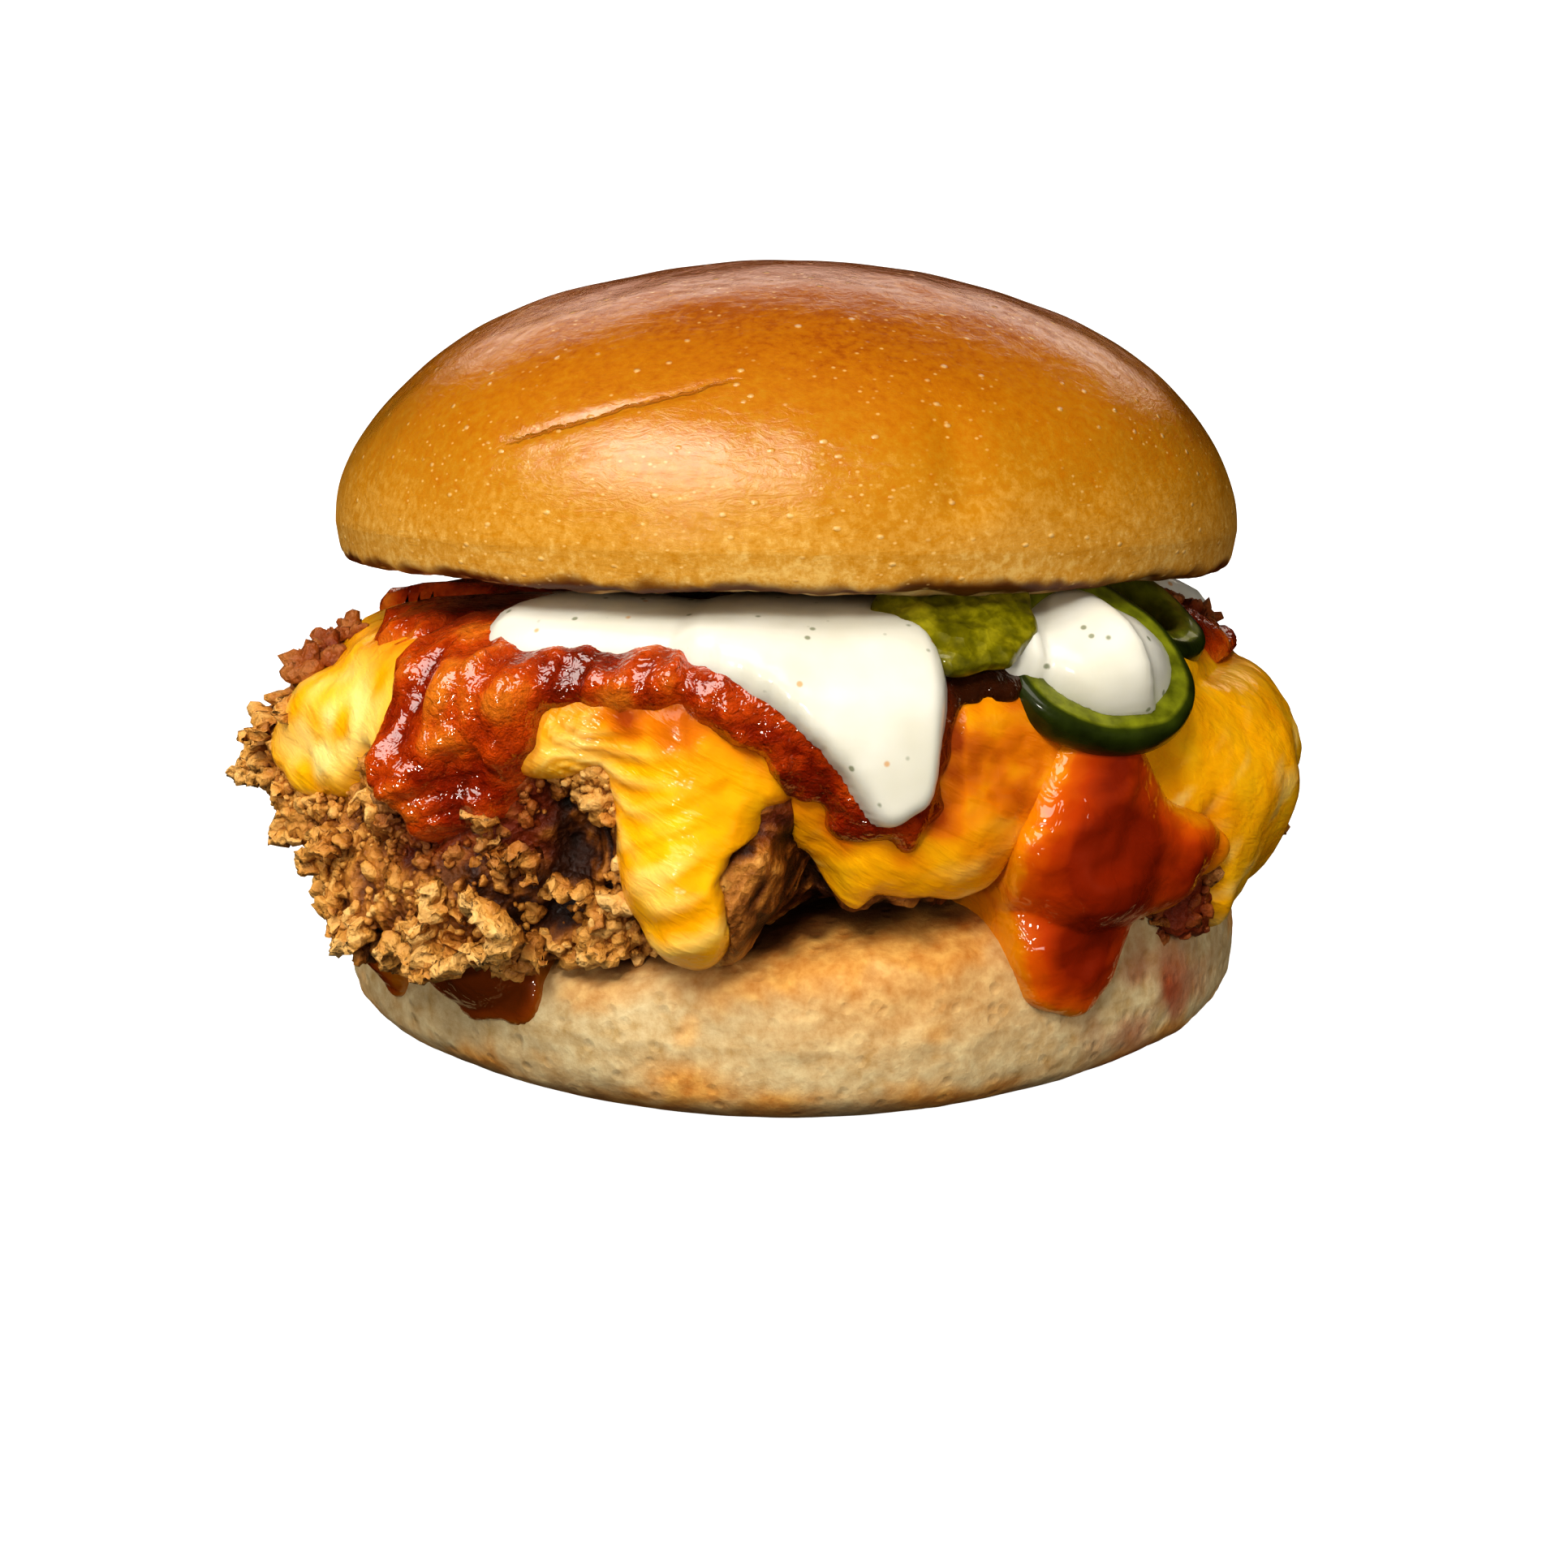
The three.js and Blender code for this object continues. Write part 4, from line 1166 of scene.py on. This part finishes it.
crease_span = smoothstep(azimuth, -39, -34) * (1 - smoothstep(azimuth, -11, -5))
above = angle - crease_level
crease = np.exp(-((above / 1.2) ** 2)) * crease_span
points = points + normal * ((shape - 0.7 * dent) * dome - 0.25 * crease)[:, None]
ragged = noise(points, 5, 104) + 0.5 * noise(points, 2, 105)
points[:, 2] += 0.45 * ragged * smoothstep(-angle, 8, 40)
risen = np.clip((points[:, 2] - 1) / (CROWN_RISE + CROWN_SKIRT), 0, 1)
radius = np.hypot(points[:, 0], points[:, 1])
burn = smoothstep(2.0 + 0.9 * ragged - points[:, 2], -0.4, 1.1) * smoothstep(radius, 44, 52)
cut = smoothstep(51.5 + 1.2 * ragged - radius, 0, 1.5) * (angle < 0)
tilt = Matrix.Rotation(math.radians(-CROWN_TILT), 4, "X") @ Matrix.Rotation(math.radians(CROWN_ROLL), 4, "Y")
seat = Matrix.Translation((0, 0, CROWN_SEAT * 0.001)) @ tilt
piece(
    "glazed_crown",
    made,
    points,
    glaze,
    "bun_top",
    "bun_top",
    matrix=seat,
    rise=risen,
    burnt=burn,
    cut=cut,
    seam=0.5 + 0.05 * above,
    seam_span=crease_span,
)

# The bottom bun
made = ball(560, 150)
azimuth, angle = chart(made, 1.05, 0)
points = heel_point(azimuth, angle)
a = np.radians(azimuth)
outward = np.stack([np.sin(a), -np.cos(a), 0 * a], -1)
side = smoothstep(points[:, 2], 0.3, 3)
spongy = 0.5 * noise(points, 14, 110) + 0.3 * noise(points, 5, 111) + 0.12 * noise(points, 1.6, 112)
pit = smoothstep(0.26 - cells(points, 4.2, 113), 0, 0.2) * smoothstep(noise(points, 9, 114), 0, 0.4)
side = side * smoothstep(np.hypot(points[:, 0], points[:, 1]), 30, 46)
points = points + outward * ((spongy - 0.5 * pit) * side)[:, None]
points[:, 2] += 0.5 * (noise(points, 6, 115) + 0.5 * noise(points, 2, 116)) * smoothstep(angle, 20, 40)
below = heel_top(points[:, 0]) - points[:, 2]
wander = 1.2 * noise(points, 8, 117) + 0.6 * noise(points, 2.4, 118)
high = points[:, 2]
char = 0.9 * smoothstep(1.5 + wander - below, -0.6, 1.2)
char += 0.45 * smoothstep(5 + 1.5 * wander - high, 0, 2.5)
toast = heap(TOASTED_BREAD, azimuth, high) + 0.6 * smoothstep(5.5 + 2 * wander - below, 0, 4)
toast += smoothstep(7.4 + 2.4 * wander - high, 0, 4) * smoothstep(noise(points, 13, 119), -0.8, 0.1)
toast += 0.8 * smoothstep(noise(points, 9, 120) - 0.52, 0, 0.25)
soaked = 0.9 * patch(azimuth, high, *SOAKED_BREAD) * smoothstep(noise(points, 5, 121), -0.5, 0.3)
piece(
    "toasted_heel",
    made,
    points,
    bread,
    "bun_bottom",
    "bun_bottom",
    char=char,
    toast=toast,
    stain=soaked,
)

# The floor, the light and the camera
ground = Surface(
    "pale floor",
    Roughness=0.9,
    Specular_IOR_Level=0.1,
    Emission_Color=hexed("#FFFFFF"),
    Emission_Strength=0.86,
)
floor_tone = ground.ramp(ground.grainy(90, 2), (0.3, "#A0A0A0"), (0.7, "#A1A1A1"))
ground.join(floor_tone, "Base Color")
made = bmesh.new()
bmesh.ops.create_grid(made, x_segments=2, y_segments=2, size=12)
floor_mesh = bpy.data.meshes.new("floor")
made.to_mesh(floor_mesh)
made.free()
floor_mesh.materials.append(ground.material)
floor = bpy.data.objects.new("floor", floor_mesh)
floor.location = (0, 0, -0.0004)
bpy.context.scene.collection.objects.link(floor)
floor.visible_diffuse = False
floor.visible_glossy = False


def softbox(name, place, aim, width, height, watts, colour, shape="RECTANGLE", glossy=True):
    """An area light at a place in metres, aimed at a point in the burger."""
    light = bpy.data.lights.new(name, "AREA")
    light.shape = shape
    light.size = width
    light.size_y = height
    light.energy = watts
    light.color = hexed(colour)[:3]
    lamp = bpy.data.objects.new(name, light)
    lamp.location = place
    lamp.rotation_euler = (Vector(aim) - Vector(place)).to_track_quat("-Z", "Y").to_euler()
    lamp.visible_glossy = glossy
    bpy.context.scene.collection.objects.link(lamp)


softbox("overhead", (-0.25, -0.31, 0.58), (0, 0, 0.06), 0.78, 0.44, 3.5, "#FFF9F2", "ELLIPSE")
softbox("overhead fill", (-0.1, 0.05, 0.65), (0, 0, 0.06), 0.8, 0.6, 0.9, "#FFF9F2", glossy=False)
softbox("front", (-0.42, -0.85, 0.22), (0, 0, 0.04), 0.12, 0.12, 1.9, "#FFF9F2")
softbox("fill", (0.1, -1.2, 0.45), (0, 0, 0.04), 1.2, 0.8, 2.2, "#FFF9F2", glossy=False)
softbox("side", (0.75, -0.6, 0.2), (0, 0, 0.04), 0.5, 0.4, 2.1, "#FFF9F2", glossy=False)
softbox("back", (0.1, 1.5, 0.62), (0, 0, 0.06), 1.6, 0.3, 1.9, "#FFF0E4")
softbox("back fill", (-0.3, 1.1, 0.3), (0, 0, 0.03), 1.4, 0.5, 4.5, "#FFF9F2", glossy=False)
softbox("left fill", (-1.0, 0.1, 0.25), (0, 0, 0.03), 0.6, 0.4, 1.2, "#FFF9F2", glossy=False)
sun = bpy.data.lights.new("sun", "SUN")
sun.energy = 1.55
sun.angle = math.radians(14)
sunlight = bpy.data.objects.new("sun", sun)
sunlight.rotation_euler = (math.radians(46), math.radians(-9), 0)
sunlight.visible_glossy = False
bpy.context.scene.collection.objects.link(sunlight)
world = bpy.data.worlds.new("studio")
world.use_nodes = True
world.node_tree.nodes["Background"].inputs["Color"].default_value = hexed("#FDFDFD")
world.node_tree.nodes["Background"].inputs["Strength"].default_value = 0.12
bpy.context.scene.world = world
world.cycles_visibility.glossy = False

CAMERA_TARGET = Vector((0, 0, 0.026))
CAMERA_DISTANCE = 0.455
pitch = math.radians(16)
lens = bpy.data.cameras.new("camera")
lens.lens = 85
lens.sensor_width = 36
lens.clip_start = 0.01
camera = bpy.data.objects.new("camera", lens)
camera.location = CAMERA_TARGET + Vector((0, -math.cos(pitch), math.sin(pitch))) * CAMERA_DISTANCE
camera.rotation_euler = (math.pi / 2 - pitch, 0, 0)
bpy.context.scene.collection.objects.link(camera)
bpy.context.scene.camera = camera
bpy.context.scene.view_settings.view_transform = "Standard"
bpy.context.scene.view_settings.look = "Medium High Contrast"
bpy.context.scene.view_settings.exposure = -0.05
